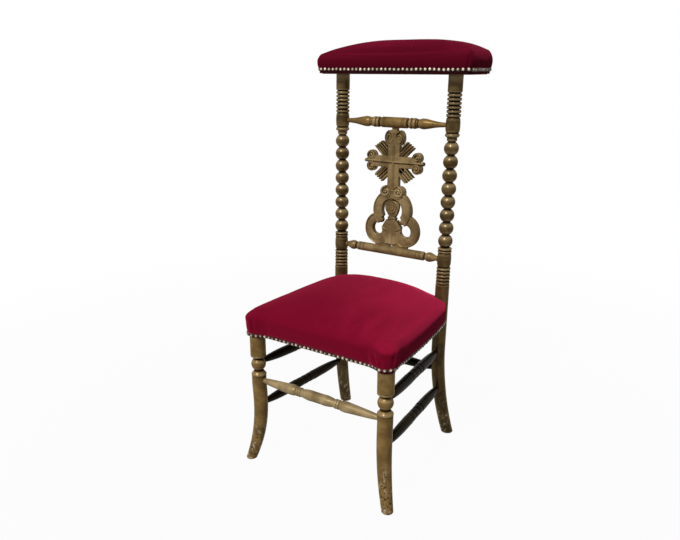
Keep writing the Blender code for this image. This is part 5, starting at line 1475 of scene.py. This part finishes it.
def plump(item, low, nails, cap):
    """Blows a pad up as stuffed cloth, held at its nails and underneath. It swells by cap at most."""
    rest = [vertex.co.copy() for vertex in item.data.vertices]
    normals = [vertex.normal.copy() for vertex in item.data.vertices]
    tree = KDTree(len(nails))
    for i, nail in enumerate(nails):
        tree.insert(nail, i)
    tree.balance()
    held = []
    for i, point in enumerate(rest):
        near = tree.find(point)[2]
        if near < 0.5 * NAIL_R or point.z < low or item.data.vertices[i].normal.z < -0.6:
            held.append(i)
    group = item.vertex_groups.new(name="held")
    group.add(held, 1.0, "REPLACE")
    cloth = item.modifiers.new("Cloth", "CLOTH")
    velvet_cloth = {"quality": 6, "mass": 0.35, "tension_stiffness": 12.0, "compression_stiffness": 12.0,
                    "bending_stiffness": 0.6, "vertex_group_mass": "held", "use_pressure": True,
                    "uniform_pressure_force": 4.0}
    for label, value in velvet_cloth.items():
        setattr(cloth.settings, label, value)
    cloth.settings.effector_weights.gravity = 0.0
    cloth.collision_settings.use_collision = False
    cloth.point_cache.frame_start = 1
    cloth.point_cache.frame_end = CLOTH_FRAMES
    for step in range(1, CLOTH_FRAMES + 1):
        bpy.context.scene.frame_set(step)
    choose(item)
    bpy.ops.object.modifier_apply(modifier=cloth.name)
    bpy.context.scene.frame_set(1)
    for vertex, start, normal in zip(item.data.vertices, rest, normals):
        swell = (vertex.co - start).dot(normal)
        vertex.co = start + normal * min(cap, max(0.0, swell))


def soften(item, low, high, repeats):
    """Fills out a pad's hollows between two heights, most in the middle of them."""
    rest = [(vertex.co.copy(), vertex.normal.copy()) for vertex in item.data.vertices]
    group = item.vertex_groups.new(name="shoulder")
    for vertex in item.data.vertices:
        share = (vertex.co.z - low) / (high - low)
        if 0.0 < share < 1.0:
            group.add([vertex.index], math.sin(math.pi * share), "REPLACE")
    modify(item, "SMOOTH", factor=0.5, iterations=repeats, vertex_group="shoulder")
    for vertex, (start, normal) in zip(item.data.vertices, rest):
        vertex.co = start + normal * max(0.0, (vertex.co - start).dot(normal))


def crease(item, start, end, depth, width):
    """Presses a pleat into a pad along a line, with a soft roll on each side of it."""
    start, end = Vector(start), Vector(end)
    run = end - start
    normals = [vertex.normal.copy() for vertex in item.data.vertices]
    for vertex, normal in zip(item.data.vertices, normals):
        share = (vertex.co - start).dot(run) / run.length_squared
        if not -PLEAT_OVERRUN < share < 1.0 + PLEAT_OVERRUN:
            continue
        away = (vertex.co - start - run * share).length / width
        if away > PLEAT_REACH:
            continue
        fade = max(0.0, math.sin(math.pi * (share + PLEAT_OVERRUN) / (1.0 + 2 * PLEAT_OVERRUN))) ** 0.7
        wave = math.exp(-away ** 2) - PLEAT_ROLL * math.exp(-(away - PLEAT_ROLL_AT) ** 2)
        vertex.co -= normal * (depth * fade * wave)


def by_leg(side, right, forward, rise):
    """A place on the seat's side, by its offset from a front leg's middle and height above the nails."""
    offset = Vector((side * FRONT_LEG_X + right, FRONT_LEG_Y - forward)) - SEAT_MIDDLE
    return seat_point(math.atan2(offset.y, offset.x), SKIN + SEAT_BULGE / 2, SEAT_NAIL_Z + rise)


def by_right_post(right, forward, rise):
    """A place on top of the seat, by its offset from the right back post and height above the rails."""
    return Vector((POST_X + right, POST_Y - forward, RAIL_TOP + rise))


def on_crest(side, inward, rise):
    """A place on the crest's front, by its distance from one end and its height above the nails."""
    angle = math.atan2(-CREST_HALF_Y, side * (CREST_HALF_X - inward))
    return crest_point(angle, SKIN + CREST_BULGE, CREST_NAIL_Z + rise)


def pleats():
    """Where the velvet is pulled into pleats: tops, feet, depths (proud when negative), half widths."""
    right_post_slit = (by_right_post(-0.012, 0.006, 0.035), by_right_post(0.031, 0.036, 0.023),
                       -0.0016, 0.0030)
    seat = ((by_leg(-1, 0.009, 0.020, 0.046), by_leg(-1, 0.010, 0.020, 0.009), 0.0030, 0.0042),
            (by_leg(1, -0.026, 0.017, 0.030), by_leg(1, -0.022, 0.017, 0.008), -0.0030, 0.0036),
            (by_leg(1, -0.016, 0.021, 0.026), by_leg(1, -0.011, 0.021, 0.008), 0.0042, 0.0036),
            (by_leg(1, -0.002, 0.022, 0.022), by_leg(1, -0.001, 0.022, 0.008), 0.0030, 0.0032),
            (by_leg(1, 0.022, 0.010, 0.036), by_leg(1, 0.020, 0.012, 0.009), 0.0024, 0.0040),
            right_post_slit)
    crest = tuple((on_crest(side, 0.010, rise), on_crest(side, 0.009, 0.0), depth, 0.0032)
                  for side, rise, depth in ((1, 0.027, 0.0016), (-1, 0.021, 0.0014)))
    return seat, crest


# Brass nails

def along_outline(outline, pitch, wanted):
    """Evenly spaced places along an outline with the outward direction at each, where wanted."""
    fine = 3000
    turns = [-math.pi / 2 + 2 * math.pi * i / fine for i in range(fine + 1)]
    spots = [outline(t) for t in turns]
    length = sum((b - a).length for a, b in zip(spots, spots[1:]))
    step = length / round(length / pitch)
    places = []
    gone = 0.5 * step
    for i in range(fine):
        gone += (spots[i + 1] - spots[i]).length
        if gone >= step:
            gone -= step
            if wanted(turns[i]):
                run = (spots[(i + 3) % fine] - spots[(i - 3) % fine]).normalized()
                places.append((spots[i], Vector((run.y, -run.x, 0.0)).normalized()))
    return places


def nail_head():
    """One domed head with a turned edge, its back at the origin and its front along Z."""
    item = add(bpy.ops.mesh.primitive_cone_add, "nail", vertices=12, radius1=NAIL_R, radius2=0.86 * NAIL_R,
               depth=0.35 * NAIL_RISE, location=(0.0, 0.0, 0.175 * NAIL_RISE), end_fill_type="NGON")
    for face in item.data.polygons:
        face.select = face.normal.z > 0.9
    mode("EDIT")
    bpy.ops.mesh.select_mode(type="FACE")
    for size, rise in ((0.80, 0.36), (0.62, 0.22), (0.05, 0.09)):
        bpy.ops.mesh.extrude_region_move(TRANSFORM_OT_translate={"value": (0.0, 0.0, rise * NAIL_RISE)})
        bpy.ops.transform.resize(value=(size, size, 1.0))
    mode("OBJECT")
    return smooth(weld(settle(item)), 60.0)


def nail_row(name, places):
    """A row of nails, each set a little differently by hand."""
    pattern = nail_head()
    heads = []
    tarnish_and_glint_values = []
    for spot, out in places:
        head = copy_of(pattern)
        tilt = Vector([chance.uniform(-most, most) for most in NAIL_TILT])
        head.rotation_mode = "QUATERNION"
        head.rotation_quaternion = (out + tilt).to_track_quat("Z", "Y")
        drift = Vector((0.0, 0.0, chance.uniform(-NAIL_DRIFT, NAIL_DRIFT)))
        head.location = spot + drift + out * chance.uniform(-0.0002, 0.0003)
        # Each head: a random tarnished tone, plus a painted highlight at its top and painted shade toward
        # its rim.
        tone = 0.20 * chance.random()
        tarnish_and_glint_values += [tone + 0.90 * (1.0 - vertex.co.z / NAIL_RISE) for vertex in head.data.vertices]
        heads.append(head)
    bpy.data.objects.remove(pattern)
    choose(heads[0])
    for head in heads:
        head.select_set(True)
    bpy.ops.object.transform_apply(location=True, rotation=True, scale=True)
    item = join(name, heads)
    measure(item, "tarnish_and_glint", tarnish_and_glint_values)
    return dress(item, brass, None)


def upholstery():
    """Both pads, blown up, softened and pleated, and the nails along them."""
    def seat_line(angle):
        low = seat_edge(angle)
        grow = SKIN + 0.12 * SEAT_BULGE * fullness(angle)
        near = 0.0
        if math.cos(angle) > 0.0:
            near = max(0.0, 1.0 - from_corner(angle, LEG_SPOT, LEG_R) / RIGHT_LEG_SPREAD)
        return seat_point(angle, grow, max(low, SEAT_NAIL_Z + RIGHT_LEG_LIFT * near ** 0.5))

    def crest_line(angle):
        return crest_point(angle, SKIN, CREST_NAIL_Z)

    seat_nails = along_outline(seat_line, NAIL_PITCH, lambda angle: from_post(angle) > NAILS_FROM_POST)
    crest_nails = along_outline(crest_line, NAIL_PITCH, lambda angle: True)

    seat = pad("seat_pad", SEAT_CELLS, lambda a: seat_dome(1.0, a), seat_dome, seat_wall, seat_lining)
    crest = pad("crest_pad", CREST_CELLS, lambda a: crest_dome(1.0, a), crest_dome, crest_wall, crest_lining)
    plump(seat, RAIL_BOTTOM + HEM, [spot for spot, out in seat_nails], SEAT_SWELL)
    plump(crest, CREST_BOARD_LOW.z + HEM, [spot for spot, out in crest_nails], CREST_SWELL)
    for item, nail_z, folds in zip((seat, crest), (SEAT_NAIL_Z, CREST_NAIL_Z), pleats()):
        modify(item, "SUBSURF", levels=1, render_levels=1)
        smooth(item, 180.0)
        if item is seat:
            soften(item, SHOULDER_LOW, SHOULDER_HIGH, SHOULDER_PASSES)
        for fold in folds:
            crease(item, *fold)
        points = item.data.vertices
        # Upward faces take painted light in the velvet.
        measure(item, "painted_lit_top", [clamp((point.normal.z - LIT_TOP_START) / LIT_TOP_SPAN) for point in points])
        # soil marks the strip below the nails, darkened as a soiled edge and as painted shade.
        measure(item, "soil", [clamp((nail_z + SOIL_AND_SHADE_ABOVE - point.co.z) / SOIL_AND_SHADE_FADE) for point in points])
    dress(seat, velvet, "crimson_velvet", "seat_cover", "seat_stuffing")
    dress(crest, crest_velvet, "crimson_velvet", "crest_cover", "crest_stuffing")
    nail_row("seat_nails", seat_nails)
    nail_row("crest_nails", crest_nails)


# Webbing and sacking under the seat

def flat_measure(item, place):
    """Stores where each point lies on the cloth laid flat."""
    flat = item.data.uv_layers.new(name="cloth")
    for loop in item.data.loops:
        flat.data[loop.index].uv = place(item.data.vertices[loop.vertex_index].co)


def strap(name, length, stops, first, centre, lengthways):
    """A strip of webbing that rides over and under the strips it crosses."""
    item = add(bpy.ops.mesh.primitive_grid_add, name, x_subdivisions=120, y_subdivisions=10, size=1.0)
    levels = [(-length / 2, -1.0)]
    for i, stop in enumerate(stops):
        level = first * (-1.0) ** i
        levels += [(stop - 0.55 * WEB_WIDTH, level), (stop + 0.55 * WEB_WIDTH, level)]
    levels.append((length / 2, -1.0))
    flat_measure(item, lambda spot: (spot.x * length, spot.y * WEB_WIDTH))
    for vertex in item.data.vertices:
        x = vertex.co.x * length
        for (x0, z0), (x1, z1) in zip(levels, levels[1:]):
            if x0 - 1e-6 <= x <= x1 + 1e-6:
                share = (x - x0) / (x1 - x0)
                z = z0 + (z1 - z0) * share * share * (3 - 2 * share)
        vertex.co = (x, vertex.co.y * WEB_WIDTH, z * WEB_STEP)
    modify(item, "SOLIDIFY", thickness=WEB_THICK, offset=0.0)
    if lengthways:
        item.rotation_euler.z = math.pi / 2
    item.location = centre
    smooth(settle(item), 50.0)
    dress(item, jute, "jute_webbing", name)


def webbing():
    """Three straps each way, plaited on top of the rails."""
    places = (-1, 0, 1)
    rear_y = POST_SPOT.y + RAIL_REAR_OUT - RAIL_THICK / 2
    front_y = LEG_SPOT.y - RAIL_FRONT_OUT + RAIL_THICK / 2
    centre_y = (front_y + rear_y) / 2
    for i, label in zip(places, ("left", "middle", "right")):
        stops = [k * WEB_PITCH_Y for k in places]
        strap("web_strap_long_" + label, rear_y - front_y, stops, (-1.0) ** (i + 1),
              (i * WEB_PITCH_X, centre_y, WEB_Z), True)
    for k, label in zip(places, ("front", "middle", "rear")):
        y = centre_y + k * WEB_PITCH_Y
        share = (y - LEG_SPOT.y) / (POST_SPOT.y - LEG_SPOT.y)
        half = LEG_SPOT.x + (POST_SPOT.x - LEG_SPOT.x) * share + RAIL_SIDE_OUT - RAIL_THICK / 2
        strap("web_strap_cross_" + label, 2 * half, [i * WEB_PITCH_X for i in places], (-1.0) ** k,
              (0.0, y, WEB_Z), False)


def sacking_sheet():
    """The sacking between webbing and stuffing, cut to the inside of the rails' outer edges."""
    cells = 40

    def outline(angle):
        return seat_point(angle, -HESSIAN_INSET, RAIL_TOP)

    angles = even_angles(outline, 4 * cells)
    item = add(bpy.ops.mesh.primitive_grid_add, "seat_hessian", x_subdivisions=cells, y_subdivisions=cells,
               size=2.0)
    for vertex in item.data.vertices:
        share, turned = grid_share(vertex.co.x, vertex.co.y)
        angle = between(angles, turned % 1.0)
        spot = seat_point(angle, -HESSIAN_INSET, RAIL_TOP, share)
        vertex.co = (spot.x, spot.y, HESSIAN_Z + HESSIAN_THICK / 2)
    flat_measure(item, lambda spot: spot.to_2d())
    modify(item, "SOLIDIFY", thickness=HESSIAN_THICK, offset=0.0)
    smooth(item, 50.0)
    dress(item, sacking, "hessian", "seat_hessian")


# Studio

AMBIENT = 0.16
FLOOR_GREY = 0.20
KEY_STRENGTH = 2.9
KEY_SPREAD = math.radians(10.0)
KEY_AZIMUTH = math.radians(-3.0)
KEY_ELEVATION = math.radians(46.0)
FLOOR_SIZE = 24.0
FLOOR_WHITE = 0.965
CAMERA_PLACE = (0.730, -1.208, 0.874)
CAMERA_TILT = math.radians(90.0 - 17.2)
CAMERA_TURN = math.radians(33.40)
CAMERA_LENS = 34.76
CAMERA_SENSOR = 36.0
SEEN_RAYS = ("Is Camera Ray", "Is Glossy Ray", "Is Transmission Ray")


def white_floor():
    """A floor that is seen as white, also in gloss, and takes the chair's shadow."""
    floor = add(bpy.ops.mesh.primitive_plane_add, "studio_floor", size=FLOOR_SIZE)
    paper = Finish("studio_paper", Base_Color=(FLOOR_GREY, FLOOR_GREY, FLOOR_GREY, 1.0), Roughness=0.9,
                   Specular_IOR_Level=0.0)
    camera, glossy, through = (paper.node("ShaderNodeLightPath", output=label) for label in SEEN_RAYS)
    seen = camera + glossy + through
    away = paper.node("ShaderNodeVectorMath", {"operation": "LENGTH"}, {0: paper.place}, output="Value")
    share = (FLOOR_WHITE + paper.step(away, 0.5, 2.2) * (1.0 - FLOOR_WHITE)) * seen
    glow = paper.node("ShaderNodeEmission", {}, {"Color": (1.0, 1.0, 1.0, 1.0), "Strength": 1.0})
    shader = Wire(paper, paper.shader.outputs["BSDF"])
    mixed = paper.node("ShaderNodeMixShader", {}, {0: share, 1: shader, 2: glow})
    paper.tree.links.new(mixed.socket, paper.tree.nodes["Material Output"].inputs["Surface"])
    floor.data.materials.append(paper.material)


def white_room():
    """A world that is seen as white, also in gloss, and lights the chair only softly."""
    world = bpy.data.worlds.new("studio")
    bpy.context.scene.world = world
    world.use_nodes = True
    nodes, links = world.node_tree.nodes, world.node_tree.links

    def fed(kind, *sources):
        made = nodes.new(kind)
        for source, socket in zip(sources, made.inputs):
            links.new(source, socket)
        return made

    camera, glossy, through = (nodes.new("ShaderNodeLightPath").outputs[label] for label in SEEN_RAYS)
    total = fed("ShaderNodeMath", camera, fed("ShaderNodeMath", glossy, through).outputs[0])
    total.use_clamp = True
    level = fed("ShaderNodeMapRange", total.outputs[0])
    level.inputs["To Min"].default_value = AMBIENT
    level.inputs["To Max"].default_value = 1.0
    links.new(level.outputs[0], nodes["Background"].inputs["Strength"])
    nodes["Background"].inputs["Color"].default_value = (1.0, 1.0, 1.0, 1.0)


def lamp_and_camera():
    """One broad soft lamp in front, and the camera."""
    lamp = bpy.data.lights.new("key_light", "SUN")
    lamp.energy = KEY_STRENGTH
    lamp.angle = KEY_SPREAD
    sun = put("key_light", lamp)
    flat = math.cos(KEY_ELEVATION)
    towards = Vector((math.sin(KEY_AZIMUTH) * flat, -math.cos(KEY_AZIMUTH) * flat, math.sin(KEY_ELEVATION)))
    sun.location = 3.0 * towards
    sun.rotation_euler = (-towards).to_track_quat("-Z", "Y").to_euler()

    lens = bpy.data.cameras.new("camera")
    lens.lens = CAMERA_LENS
    lens.sensor_width = CAMERA_SENSOR
    camera = put("camera", lens)
    camera.location = CAMERA_PLACE
    camera.rotation_euler = (CAMERA_TILT, 0.0, CAMERA_TURN)
    bpy.context.scene.camera = camera
    bpy.context.scene.view_settings.view_transform = "Standard"


turned_frame()
carved_splat()
upholstery()
webbing()
sacking_sheet()
bare = {"seat_rail_" + label: beech for label in ("front", "rear", "left", "right")}
for name, material in {**bare, "crest_board": gilt}.items():
    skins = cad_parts[name].data.materials
    skins.clear()
    skins.append(material)
white_floor()
white_room()
lamp_and_camera()
